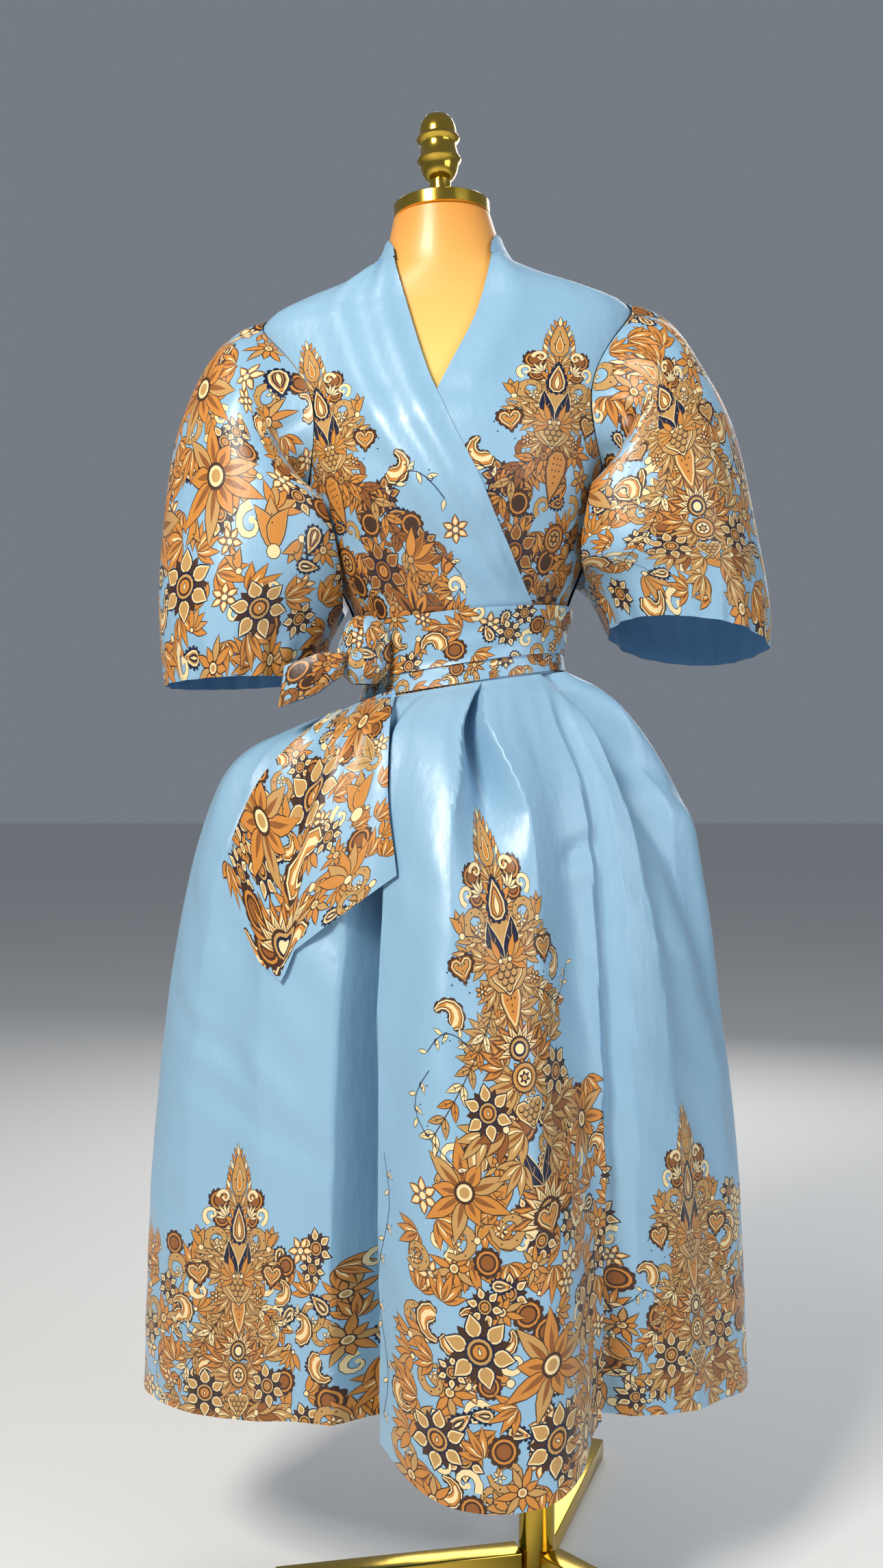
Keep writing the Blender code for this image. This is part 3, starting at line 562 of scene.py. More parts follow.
def loop_surface(u, v):
    """u round the loop, v down from its upper edge (negative); pinched where it meets the knot."""
    angle, fall = u / LOOP_R, -v / LOOP_TALL
    across = np.sin(angle)
    pinch = 1 - 0.42 * ease_in(across)
    height = LOOP_Z + (LOOP_TALL / 2 + v) * pinch + 0.012 * across
    crease = 1 + 0.10 * np.cos(5 * angle + 3 * fall) * (0.4 + 0.6 * ease_in(across + 0.5))
    bulge = 1 - 0.30 * np.abs(2 * fall - 1) ** 2
    return np.stack(
        [
            LOOP_X - 0.006 * fall + 0.034 * across,
            LOOP_Y - 0.0105 * crease * bulge * np.cos(angle),
            height,
        ],
        -1,
    )


# materials


class Value:
    """A socket whose sums and products are written as plain ones."""

    def __init__(self, nodes, socket):
        self.nodes, self.socket = nodes, socket

    def _with(self, operation, other):
        return self.nodes.node("ShaderNodeMath", {"operation": operation}, {0: self, 1: other})

    def __add__(self, other):
        return self._with("ADD", other)

    def __mul__(self, other):
        return self._with("MULTIPLY", other)

    __radd__, __rmul__ = __add__, __mul__


class Nodes:
    """The shader nodes of one material."""

    def __init__(self, made):
        self.tree = made.node_tree
        self.shader = self.tree.nodes["Principled BSDF"]

    def node(self, kind, settings, sockets, output=0):
        """One output of a new node; settings are put before the sockets' values or links."""
        made = self.tree.nodes.new(kind)
        for name, setting in settings.items():
            setattr(made, name, setting)
        self.plug(made, sockets)
        return Value(self, made.outputs[output])

    def plug(self, node, sockets):
        for name, value in sockets.items():
            if isinstance(value, Value):
                self.tree.links.new(value.socket, node.inputs[name])
            else:
                node.inputs[name].default_value = value

    def place(self):
        return self.node("ShaderNodeTexCoord", {}, {}, "Object")

    def noise(self, scale, detail=2.0, stretch=(1, 1, 1)):
        place = self.node("ShaderNodeMapping", {}, {"Scale": stretch, "Vector": self.place()})
        sockets = {"Scale": scale, "Detail": detail, "Vector": place}
        return self.node("ShaderNodeTexNoise", {}, sockets, "Fac")

    def bump(self, height, distance, strength=1.0):
        sockets = {"Distance": distance, "Strength": strength, "Height": height}
        self.plug(self.shader, {"Normal": self.node("ShaderNodeBump", {}, sockets)})


def material(name, colour, roughness, metallic=0.0, specular=0.5, coat=0.0, sheen=0.0):
    made = bpy.data.materials.new(name)
    made.use_nodes = True
    nodes = Nodes(made)
    nodes.plug(nodes.shader, {
        "Base Color": (*colour, 1),
        "Roughness": roughness,
        "Metallic": metallic,
        "Specular IOR Level": specular,
        "Coat Weight": coat,
        "Coat Roughness": 0.12,
        "Sheen Weight": sheen,
        "Sheen Roughness": 0.35,
    })
    return made


def satin(name, colour, roughness=0.41, specular=0.9):
    """Printed satin: a broad soft highlight over fine puckers."""
    made = material(name, colour, roughness, specular=specular, sheen=0.15)
    nodes = Nodes(made)
    puckers = nodes.noise(55.0, 2.0, (1.0, 1.0, 0.45))
    threads = nodes.noise(900.0, 1.0, (1.0, 1.0, 0.2))
    nodes.bump(puckers + threads * 0.12, 0.0011)
    return made


def painted_light_by_height(made, heights, colours):
    """Base colour that runs from the first colour up to the second between two heights: a painted
    gradient of light and shade.
    """
    nodes = Nodes(made)
    height = nodes.node("ShaderNodeSeparateXYZ", {}, {0: nodes.place()}, "Z")
    sockets = {"From Min": heights[0], "From Max": heights[1], "Value": height}
    share = nodes.node("ShaderNodeMapRange", {}, sockets)
    sockets = {"A": (*colours[0], 1), "B": (*colours[1], 1), "Factor": share}
    mixed = nodes.node("ShaderNodeMix", {"data_type": "RGBA"}, sockets, "Result")
    nodes.plug(nodes.shader, {"Base Color": mixed})


def form_skin():
    """Glossy golden tan, with painted light making it paler on the chest and painted shade making it
    darker up the neck.
    """
    made = material("form_golden_tan", srgb(232, 166, 74), 0.36, coat=0.15, specular=0.4)
    # painted light and shade: lit pale colour low on the neck, shaded darker colour at its top
    painted_light_by_height(made, (1.28, 1.50), (srgb(247, 208, 120), srgb(222, 148, 68)))
    return made


def polished_brass():
    made = material("polished_brass", srgb(214, 178, 72), 0.16, metallic=1.0)
    nodes = Nodes(made)
    nodes.bump(nodes.noise(60.0), 0.0004, 0.25)
    return made


def srgb(red, green, blue):
    """Linear colour of a screen colour."""
    scaled = np.array([red, green, blue]) / 255
    return tuple(np.where(scaled <= 0.04045, scaled / 12.92, ((scaled + 0.055) / 1.055) ** 2.4))


INKS = {
    "ground": satin("satin_sky_blue", srgb(136, 176, 203)),
    "tan": satin("print_tan", srgb(188, 145, 86), 0.40, 0.45),
    "orange": satin("print_orange", srgb(198, 130, 56), 0.40, 0.45),
    "cream": satin("print_cream", srgb(236, 212, 160), 0.40, 0.45),
    "rust": satin("print_rust", srgb(140, 84, 36), 0.40, 0.45),
    "brown": satin("print_brown", srgb(64, 38, 22), 0.40, 0.45),
    "navy": satin("print_navy", srgb(20, 26, 52), 0.40, 0.45),
    "reverse": satin("satin_reverse", srgb(112, 162, 204), 0.5, 0.4),
}
INK_ORDER = list(INKS)
FORM_SKIN = form_skin()
BRASS = polished_brass()
FLOOR = material("pale_floor", (0.80, 0.79, 0.77), 0.9, specular=0.1)

# cloth builder: outlines are complex numbers, u + v * 1j
# Side of a tile, grid on which corners are joined, bend of a run that counts as straight
TILE, WELD, STRAIGHT = 0.036, 2e-7, 0.05


def normals_of(surface, u, v):
    """Outward normals, from steps along and across the cloth."""
    step = 3e-4
    around = surface(u + step, v) - surface(u - step, v)
    up = surface(u, v + step) - surface(u, v - step)
    out = np.cross(around, up)
    return out / np.maximum(np.linalg.norm(out, axis=-1, keepdims=True), 1e-12)


def clipped(shape, along, edge, keep):
    """The part of an outline on one side of a line across u (along 1) or v (along 1j)."""
    place = ((shape / along).real - edge) * keep
    out = []
    for k in range(len(shape)):
        before, here = place[k - 1], place[k]
        if (before < 0) != (here < 0):
            out.append(shape[k - 1] + (shape[k] - shape[k - 1]) * before / (before - here))
        if here >= 0:
            out.append(shape[k])
    return np.array(out)


def in_tile(shape, low, high):
    """An outline cut down to one tile; empty where it misses it."""
    if shape.real.max() <= low.real or shape.real.min() >= high.real:
        return shape[:0]
    if shape.imag.max() <= low.imag or shape.imag.min() >= high.imag:
        return shape[:0]
    sides = ((1, low.real, 1), (1, high.real, -1), (1j, low.imag, 1), (1j, high.imag, -1))
    for along, edge, keep in sides:
        place = ((shape / along).real - edge) * keep
        if place.min() < 0:
            shape = clipped(shape, along, edge, keep)
            if len(shape) < 3:
                return shape[:0]
    return shape


def ink_edges(triangles, inks):
    """The edges with a different ink on each side."""
    edges = np.concatenate([triangles[:, [0, 1]], triangles[:, [1, 2]], triangles[:, [2, 0]]])
    edges = np.sort(edges, axis=1)
    ink = np.tile(inks, 3)
    order = np.lexsort((edges[:, 1], edges[:, 0]))
    edges, ink = edges[order], ink[order]
    paired = np.all(edges[1:] == edges[:-1], axis=1) & (ink[1:] != ink[:-1])
    return edges[1:][paired]


def straightened(corners, edges):
    """The same lines without the points that lie along a straight run."""
    beside = {}
    for a, b in edges.tolist():
        beside.setdefault(a, set()).add(b)
        beside.setdefault(b, set()).add(a)
    place = corners[:, 0] + 1j * corners[:, 1]
    for here in list(beside):
        if len(beside[here]) != 2:
            continue
        a, b = beside[here]
        one, other = place[here] - place[a], place[b] - place[here]
        bend = abs((one.conjugate() * other).imag) / max(abs(one) * abs(other), 1e-18)
        if bend < STRAIGHT and b not in beside[a]:
            beside[a].discard(here)
            beside[b].discard(here)
            beside[a].add(b)
            beside[b].add(a)
            beside[here] = set()
    return [(a, b) for a in beside for b in beside[a] if a < b]


def winds_round(places, shape):
    """Which places an outline goes round."""
    found = np.zeros(len(places), dtype=bool)
    near = (places.real > shape.real.min()) & (places.real < shape.real.max())
    near &= (places.imag > shape.imag.min()) & (places.imag < shape.imag.max())
    index = np.flatnonzero(near)
    if not len(index):
        return found
    at = places[index][:, None]
    a, b = shape[None, :], np.roll(shape, -1)[None, :]
    side = ((b - a).conjugate() * (at - a)).imag
    rising = (a.imag <= at.imag) & (b.imag > at.imag) & (side > 0)
    falling = (a.imag > at.imag) & (b.imag <= at.imag) & (side < 0)
    found[index] = rising.sum(axis=1) != falling.sum(axis=1)
    return found


def painted(places, shapes):
    """The number of the top ink at each place."""
    inks = np.full(len(places), INK_ORDER.index("ground"))
    for ink, shape in shapes:
        inks[winds_round(places, shape)] = INK_ORDER.index(ink)
    return inks


def meshed(points, pairs, ground):
    """Corners and the triangles inside the ground, with every pair of points joined."""
    made = delaunay_2d_cdt(vectors(points), pairs, [], 0, 1e-6)
    corners, triangles = np.array([(p.x, p.y) for p in made[0]]), np.array(made[2])
    middles = corners[triangles].mean(axis=1)
    middles = middles[:, 0] + 1j * middles[:, 1]
    kept = winds_round(middles, ground)
    return corners, triangles[kept], middles[kept]


def ring_pairs(first, count):
    return [(first + k, first + (k + 1) % count) for k in range(count)]


def threaded(rim, points):
    """A tile's rim with every point that lies on it put in its place."""
    out = []
    for a, b in zip(rim, np.roll(rim, -1)):
        out.append(a)
        if abs(b - a) < 1e-6:
            continue
        along = (points - a) * (b - a).conjugate() / abs(b - a)
        share = along.real / abs(b - a)
        on = (np.abs(along.imag) < 1e-6) & (share > 1e-4) & (share < 1 - 1e-4)
        out += list(points[on][np.argsort(share[on])])
    return np.array(out)


def vectors(places):
    return [Vector((z.real, z.imag)) for z in places]


def tile_triangles(outline, prints, low, high, spacing):
    """Corners, triangles and top inks of one tile, cut only where the ink changes."""
    ground = in_tile(outline, low, high)
    if len(ground) < 3:
        return None
    steps_u = np.linspace(low.real, high.real, spacing[0] + 1)
    steps_v = np.linspace(low.imag, high.imag, spacing[1] + 1)
    grid = (steps_u[None, :] + 1j * steps_v[:, None]).ravel()
    shapes = [(ink, in_tile(shape, low, high)) for ink, shape in prints]
    shapes = [(ink, shape) for ink, shape in shapes if len(shape) > 2]
    pairs, turns = [], np.array([], dtype=complex)
    if shapes:
        lengths = np.cumsum([len(ground)] + [len(shape) for _, shape in shapes])
        pairs = ring_pairs(0, len(ground))
        for first, (_, shape) in zip(lengths, shapes):
            pairs += ring_pairs(int(first), len(shape))
        points = np.concatenate([ground] + [shape for _, shape in shapes])
        old, triangles, middles = meshed(points, pairs, ground)
        if not len(triangles):
            return None
        pairs = straightened(old, ink_edges(triangles, painted(middles, shapes)))
        used = sorted({k for pair in pairs for k in pair})
        number = {k: i for i, k in enumerate(used)}
        pairs = [(number[a], number[b]) for a, b in pairs]
        turns = old[used, 0] + 1j * old[used, 1]
    rim = threaded(ground, np.concatenate([turns, grid]))
    pairs = pairs + ring_pairs(len(turns), len(rim))
    corners, triangles, middles = meshed(np.concatenate([turns, rim, grid]), pairs, ground)
    if not len(triangles):
        return None
    return corners, triangles, painted(middles, shapes).tolist()


def triangulated(outline, spacing, prints):
    """Triangles over an outline that follow every printed edge, each with its top ink."""
    low = complex(outline.real.min(), outline.imag.min())
    size = complex(outline.real.max(), outline.imag.max()) - low
    across, up = max(1, round(size.real / TILE)), max(1, round(size.imag / TILE))
    step = complex(size.real / across, size.imag / up)
    parts = (math.ceil(step.real / spacing[0]), math.ceil(step.imag / spacing[1]))
    corners, triangles, colours, first = [], [], [], 0
    for column_no in range(across):
        left = low.real + step.real * column_no
        right = low.real + step.real * (column_no + 1)
        near = [p for p in prints if p[1].real.max() > left and p[1].real.min() < right]
        for row_no in range(up):
            tile = tile_triangles(
                outline, near, complex(left, low.imag + step.imag * row_no),
                complex(right, low.imag + step.imag * (row_no + 1)), parts,
            )
            if tile is None:
                continue
            corners.append(tile[0])
            triangles.append(tile[1] + first)
            colours += tile[2]
            first += len(tile[0])
    corners, triangles = np.concatenate(corners), np.concatenate(triangles)
    _, at, same = np.unique(np.round(corners / WELD), axis=0, return_index=True, return_inverse=True)
    triangles, colours = same.reshape(-1)[triangles], np.array(colours)
    whole = (
        (triangles[:, 0] != triangles[:, 1]) & (triangles[:, 1] != triangles[:, 2])
        & (triangles[:, 2] != triangles[:, 0])
    )
    used, renumbered = np.unique(triangles[whole], return_inverse=True)
    return corners[at[used]], renumbered.reshape(-1, 3), colours[whole]


def dense(outline, spacing):
    """An outline with points no further apart than the spacing."""
    out = []
    for a, b in zip(outline, np.roll(outline, -1)):
        count = max(1, int(math.ceil(abs(b - a) / spacing)))
        out.append(a + (b - a) * np.arange(count) / count)
    return np.concatenate(out)


def raw_edge(surface, outline, seam):
    """A strip joining the face to the reverse along the outline, left out where it is sewn shut."""
    after = np.roll(outline, -1)
    open_part = np.ones(len(outline), dtype=bool)
    for end in seam:
        open_part &= (np.abs(outline.real - end) > 1e-5) | (np.abs(after.real - end) > 1e-5)
    points = surface(outline.real, outline.imag)
    out = normals_of(surface, outline.real, outline.imag)
    here = np.arange(len(outline))
    following = np.roll(here, -1)
    under = len(outline)
    faces = np.stack([here, following, following + under, here + under], axis=1)
    return np.concatenate([points, points - out * THICK]), np.concatenate([out, out]), faces[open_part]


def cloth_mesh(name, points, out, faces, inks):
    """A mesh with the given normals and an ink for each face."""
    mesh = bpy.data.meshes.new(name)
    mesh.from_pydata(points.tolist(), [], faces)
    for ink in INK_ORDER:
        mesh.materials.append(INKS[ink])
    mesh.polygons.foreach_set("material_index", inks.astype(np.int32))
    mesh.shade_smooth()
    mesh.normals_split_custom_set_from_vertices(out.tolist())
    return mesh


def cloth(name, surface, outline, node, prints, spacing, seam=()):
    """A printed piece of cloth: printed face, plain reverse and the raw edge between them."""
    outline = dense(np.array(outline), min(spacing) * 0.8)
    uv, triangles, colours = triangulated(outline, spacing, prints)
    coarser = (spacing[0] * 1.5, spacing[1] * 1.5)
    back_uv, back_triangles, _ = triangulated(outline, coarser, ())
    face = surface(uv[:, 0], uv[:, 1])
    face_out = normals_of(surface, uv[:, 0], uv[:, 1])
    reverse_out = normals_of(surface, back_uv[:, 0], back_uv[:, 1])
    reverse = surface(back_uv[:, 0], back_uv[:, 1]) - reverse_out * THICK
    rim, rim_out, rim_faces = raw_edge(surface, outline, seam)
    a, b = len(face), len(face) + len(reverse)
    faces = [tuple(t) for t in triangles]
    faces += [tuple(t + a)[::-1] for t in back_triangles]
    faces += [tuple(f + b) for f in rim_faces]
    plain = np.full(len(back_triangles) + len(rim_faces), INK_ORDER.index("reverse"))
    points = np.concatenate([face, reverse, rim])
    out = np.concatenate([face_out, -reverse_out, rim_out])
    mesh = cloth_mesh(name, points, out, faces, np.concatenate([colours, plain]))
    piece = bpy.data.objects.new(name, mesh)
    bpy.context.scene.collection.objects.link(piece)
    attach(piece, "root")
    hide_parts(node)


def rectangle(left, right, low, high):
    return [complex(left, low), complex(right, low), complex(right, high), complex(left, high)]


def between(heights, left, right):
    """Outline of a panel from its two edges, listed by rising height."""
    up = right + 1j * heights
    down = (left + 1j * heights)[::-1]
    return np.concatenate([up, down])


# hard pieces

SHARP = math.radians(38)


def made_solid(piece, made_of, node):
    """Smooth shading with crisp rims, its material, and its place in the frame."""
    bpy.ops.object.shade_smooth()
    piece.data.set_sharp_from_angle(angle=SHARP)
    piece.data.materials.append(made_of)
    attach(piece, "root")
    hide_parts(node)


def applied():
    bpy.ops.object.transform_apply(location=True, rotation=True, scale=True)


def extruded_stack(name, rows, sides, made_of, node, turn=True, slide=0.0):
    """A solid drawn up ring by ring. Rows: height, half width, half depth, shift back."""
    first = rows[0]
    bpy.ops.mesh.primitive_circle_add(
        vertices=sides, radius=1, fill_type="NGON", location=(0, first[3], first[0])
    )
    piece = bpy.context.active_object
    piece.name = name
    bpy.ops.object.mode_set(mode="EDIT")
    bpy.ops.mesh.select_all(action="SELECT")
    bpy.ops.transform.resize(value=(first[1], first[2], 1))
    for last, row in zip(rows, rows[1:]):
        bpy.ops.mesh.extrude_region_move(
            TRANSFORM_OT_translate={"value": (slide, row[3] - last[3], row[0] - last[0])}
        )
        bpy.ops.transform.resize(value=(row[1] / last[1], row[2] / last[2], 1))
    bpy.ops.mesh.select_all(action="SELECT")
    bpy.ops.mesh.normals_make_consistent(inside=False)
    bpy.ops.object.mode_set(mode="OBJECT")
    applied()
    if turn:
        piece.location = (NECK_X + NECK_Z * math.sin(LEAN), 0, NECK_Z - NECK_Z * math.cos(LEAN))
        piece.rotation_euler = (0, -LEAN, 0)
        applied()
    made_solid(piece, made_of, node)


def round_rows(profile, at=0.0):
    return [(at + z, r, r, 0.0) for r, z in profile]


def dress_form():
    """The torso, rounded in at its foot and a little inside its section under the dress."""
    foot, covered = 0.780, 1.3
    heights = np.concatenate([
        [0.764, 0.766, 0.772], np.linspace(foot, 1.376, 26), np.linspace(1.384, 1.442, 9),
        np.linspace(1.452, 1.500, 5),
    ])
    rows = []
    for h in heights:
        at = max(h, foot)
        wide = float(smooth(FORM, FORM_COLUMNS, at, "half_width"))
        front = float(smooth(FORM, FORM_COLUMNS, at, "front"))
        back = float(smooth(FORM, FORM_COLUMNS, at, "back"))
        round_in = 1 - 0.5 * (max(0.0, foot - h) / 0.016) ** 2
        inside = 0.003 if h < covered else 0.0
        rows.append((
            float(h), (wide - inside) * round_in, ((front + back) / 2 - inside) * round_in,
            (back - front) / 2,
        ))
    extruded_stack("dress_form", rows, 96, FORM_SKIN, "form_torso")


CAP = ((0.0515, 0.0), (0.0535, 0.0012), (0.0535, 0.0138), (0.0520, 0.0150))
FINIAL = (
    (0.0160, 0.0000), (0.0165, 0.0040), (0.0160, 0.0080), (0.0125, 0.0112), (0.0120, 0.0140),
    (0.0118, 0.0200), (0.0120, 0.0260), (0.0142, 0.0275), (0.0165, 0.0300), (0.0190, 0.0345),
    (0.0205, 0.0390), (0.0215, 0.0440), (0.0238, 0.0468), (0.0247, 0.0490), (0.0238, 0.0512),
    (0.0222, 0.0535), (0.0208, 0.0585), (0.0196, 0.0645), (0.0200, 0.0675), (0.0232, 0.0705),
    (0.0242, 0.0725), (0.0232, 0.0745), (0.0208, 0.0770), (0.0206, 0.0820), (0.0195, 0.0875),
    (0.0170, 0.0935), (0.0130, 0.0980), (0.0080, 0.1004), (0.0030, 0.1012),
)
SOCKET = (
    (0.0200, 0.0), (0.0200, 0.0800), (0.0205, 0.0805), (0.0205, 0.0860), (0.0190, 0.0878),
    (0.0150, 0.0880), (0.0140, 0.0865),
)
POLE_R, POLE_LOW_Z, POLE_HIGH_Z = 0.0125, 0.0883, 0.7630
LEG_NEAR, LEG_FAR, LEG_WIDE, LEG_TALL, LEG_ROUND = 0.0203, 0.290, 0.030, 0.022, 0.0018
LEG_HEADINGS = (72, 192, 312)


def cap_and_finial():
    top = FORM[-1][0] + 0.0003
    extruded_stack("cap", round_rows(CAP, top), 96, BRASS, "neck_cap")
    finial = round_rows(FINIAL, top + 0.0153)
    extruded_stack("turned_finial", finial, 64, BRASS, "finial")


def pole_and_socket():
    """The pole slants from the socket to the leaning form's foot."""
    slide = float(leaned(np.array([0.0, 0.0, 0.7637]))[0])
    rows = [(height, POLE_R, POLE_R, 0.0) for height in (POLE_LOW_Z, POLE_HIGH_Z)]
    extruded_stack("pole", rows, 48, BRASS, "stand_post", turn=False, slide=slide)
    socket = round_rows(SOCKET)
    extruded_stack("pole_socket", socket, 64, BRASS, "stand_socket", turn=False)


def tripod_bar(number, heading):
    middle = ((LEG_NEAR + LEG_FAR) / 2, 0, LEG_TALL / 2)
    bpy.ops.mesh.primitive_cube_add(size=1, location=middle)
    leg = bpy.context.active_object
    leg.name = f"tripod_bar_{number}"
    leg.scale = (LEG_FAR - LEG_NEAR, LEG_WIDE, LEG_TALL)
    applied()
    leg.rotation_euler = (0, 0, math.radians(heading))
    applied()
    bpy.ops.object.modifier_add(type="BEVEL")
    leg.modifiers[-1].width = LEG_ROUND
    leg.modifiers[-1].segments = 3
    bpy.ops.object.modifier_apply(modifier=leg.modifiers[-1].name)
    made_solid(leg, BRASS, f"base_leg_{number}")


# the print's motifs: lists of (ink, outline), later ones on top, drawn upright in metres


def disc(radius, count=0):
    count = count or (8 if radius < 0.006 else 14)
    return radius * np.exp(1j * np.arange(count) / count * TAU)


def leaf(long, wide, bend=0.0):
    """A pointed leaf from 0 up to its tip; bend swings its middle to the right."""
    t = np.linspace(0, 1, 5 if long < 0.020 else 6)
    half = wide / 2 * np.sin(math.pi * t ** 0.8)
    spine = bend * np.sin(math.pi * t) + 1j * long * t
    return np.concatenate([spine + half, (spine - half)[-2:0:-1]])


def drop(long, wide, count=11):
    """A drop with its round end at 0 and its tip above."""
    t = np.arange(count) / count * TAU
    return -0.62 * wide * np.sin(t) * np.sin(t / 2) ** 1.2 + 0.5j * long * (1 + np.cos(t))


def heart(size, count=16):
    t = np.arange(count) / count * TAU
    across = -np.sin(t) ** 3
    up = (13 * np.cos(t) - 5 * np.cos(2 * t) - 2 * np.cos(3 * t) - np.cos(4 * t)) / 16
    return size / 2 * (across + 1j * up)


def stroke(spine, wide):
    """A ribbon of uneven width along a line."""
    way = np.gradient(spine)
    side = -1j * way / np.abs(way) * wide / 2
    return np.concatenate([spine + side, (spine - side)[::-1]])


def spiral(radius, turns, start=0.0, count=11, end=0.22):
    t = np.linspace(0, 1, count)
    return radius * (1 + (end - 1) * t ** 0.8) * np.exp(1j * (start + turns * TAU * t))


def grown(shape, by):
    """An outline drawn anticlockwise, moved out by a distance, or in where it is negative."""
    way = np.roll(shape, -1) - np.roll(shape, 1)
    return shape - 1j * way / np.maximum(np.abs(way), 1e-9) * by


def scalloped(shape, count, depth):
    """An outline with a row of rounded bites along it."""
    place = np.arange(count * 3) / (count * 3) * len(shape)
    low = place.astype(int)
    share = place - low
    along = shape[low % len(shape)] * (1 - share) + shape[(low + 1) % len(shape)] * share
    bites = np.abs(np.sin(np.arange(count * 3) / 3 * math.pi)) * depth
    way = np.roll(along, -1) - np.roll(along, 1)
    return along - 1j * way / np.maximum(np.abs(way), 1e-9) * bites


def layered(shape, inks, step):
    return [(ink, grown(shape, -step * k)) for k, ink in enumerate(inks)]


def moved(shapes, place, turn=0.0, size=1.0):
    return [(ink, shape * size * np.exp(1j * turn) + place) for ink, shape in shapes]


def mirrored(shapes):
    return [(ink, -shape.conj()[::-1]) for ink, shape in shapes]


def both_ways(shapes):
    return shapes + mirrored(shapes)


def petals(count, inner, long, wide, inks, step, start=0.0):
    """Leaves in a ring, pointing out."""
    made = []
    one = layered(leaf(long, wide), inks, step)
    for k in range(count):
        turn = start + TAU * k / count
        made += moved(one, inner * 1j * np.exp(1j * turn), turn)
    return made


def dots(places, radius, ink):
    return [(ink, disc(radius, 6) + place) for place in places]


def veined_leaf(long, wide, inks, vein, bend=0.0):
    """A leaf with a midrib and a pair of side veins."""
    made = layered(leaf(long, wide, bend), inks, 0.0009)
    along = np.linspace(0.05, 0.85, 3)
    rib = bend * np.sin(math.pi * along) + 1j * long * along
    made.append((vein, stroke(rib, np.linspace(0.0011, 0.0004, 3))))
    root = 1j * long * 0.42 + bend * 0.9
    for side in (-1, 1):
        tip = root + wide * 0.27 * side + 1j * long * 0.12
        made.append((vein, stroke(np.linspace(root, tip, 2), np.full(2, 0.0007))))
    return made


def flame():
    """A tall leaf edged with tongues; tip at 0, 62 mm down to its foot."""
    made = []
    for k in range(7):
        up = k / 6
        ink = "cream" if k % 3 == 1 else "orange"
        tongue = layered(leaf(0.014, 0.0058), ("brown", ink), 0.0009)
        root = 0.0125 * (1 - up ** 2) + 0.002 + 1j * (0.042 * up - 0.058)
        made += both_ways(moved(tongue, root, -0.42))
    made += moved(layered(drop(0.056, 0.029), ("brown", "tan", "orange", "tan"), 0.0012), -0.060j)
    made += moved(layered(drop(0.030, 0.013), ("brown", "cream", "orange"), 0.0011), -0.054j)
    made += moved(layered(leaf(0.017, 0.0070), ("navy", "cream"), 0.0011), -0.015j)
    return made + dots([0.0062 - 0.040j, -0.0062 - 0.040j, -0.022j], 0.0012, "brown")


def scroll(radius):
    """A rolled ribbon with its open end up."""
    line = spiral(radius, 0.95, -0.4)
    wide = np.linspace(0.0052, 0.0016, len(line)) * radius / 0.010
    made = [("navy", stroke(line, wide + 0.0014)), ("cream", stroke(line, wide))]
    return made + dots([line[-1]], 0.0021 * radius / 0.010, "cream")


def rolled_arm(radius):
    """A broad tan arm rolled round a small flower, with dots along it."""
    line = spiral(radius, 1.05, -2.4, 13, 0.42)
    wide = np.interp(np.linspace(0, 1, 13), (0, 0.3, 1), (0.003, 0.0085, 0.0030)) * radius / 0.016
    made = [("brown", stroke(line, wide + 0.0018)), ("tan", stroke(line, wide))]
    made += dots(line[2:11:2], 0.0010, "brown")
    flower = petals(5, 0.001, 0.006, 0.0038, ("brown", "cream"), 0.0007)
    return made + moved(flower, line[-1], 0.3, radius / 0.016)


def twin_leaf(long):
    """Two dark striped leaves in a V from a point at the foot."""
    one = veined_leaf(long, long * 0.44, ("cream", "navy", "navy", "navy"), "tan", 0.12 * long)
    return both_ways(moved(one, 0, -0.36))


def ogee(long):
    """An upright pointed leaf with a dark scalloped edge."""
    made = [("navy", scalloped(drop(long, long * 0.62, 16), 15, 0.0022))]
    body = layered(drop(long * 0.86, long * 0.50), ("cream", "tan", "navy", "orange"), 0.0013)
    core = layered(leaf(long * 0.5, long * 0.17), ("brown", "cream"), 0.0010)
    return made + moved(body, 1j * long * 0.04) + moved(core, 1j * long * 0.12)


def tulip(size):
    """Three petals on a small cup."""
    made = layered(leaf(size, size * 0.42), ("brown", "orange", "tan"), 0.0011)
    for side in (-1, 1):
        petal = leaf(size * 0.88, size * 0.40, -0.10 * size * side)
        made += moved(layered(petal, ("brown", "tan", "orange"), 0.0011), 0, -0.42 * side)
    made += layered(disc(size * 0.15, 10), ("brown", "cream"), 0.0009)
    return made + dots([1j * size * 0.5, 1j * size * 0.65], 0.0009, "brown")


def heart_flower(size):
    """A heart with a pale edge and dots, in a frill."""
    made = [("brown", scalloped(heart(size * 1.22, 18), 17, 0.0020))]
    made += layered(heart(size), ("orange", "cream", "brown", "tan", "orange"), 0.0012)
    return made + dots([0.004 + 0.003j, -0.004 + 0.003j, -0.003j, 0.0035j], 0.0009, "brown")


def fan(size, ink="orange"):
    """Five broad petals spread from one point."""
    made = []
    for k in range(5):
        petal = layered(leaf(size, size * 0.36), ("brown", ink, "tan" if k % 2 else ink), 0.0009)
        made += moved(petal, 0, -0.9 + 0.45 * k)
    return made + layered(disc(size * 0.13, 8), ("navy", "cream"), 0.0010)


def hanging_drop():
    """A dotted drop, tip down, 55 mm."""
    upright = layered(drop(0.055, 0.030), ("brown", "tan", "cream", "orange"), 0.0013)
    down = [(ink, shape.conj()[::-1]) for ink, shape in upright]
    places = []
    for row, across in enumerate(((-1, 0, 1), (-1, 0, 1), (-1, 0, 1), (0,), (0,))):
        places += [step * 0.0045 - 1j * (0.010 + 0.006 * row) for step in across]
    return down + dots(places, 0.0011, "brown")


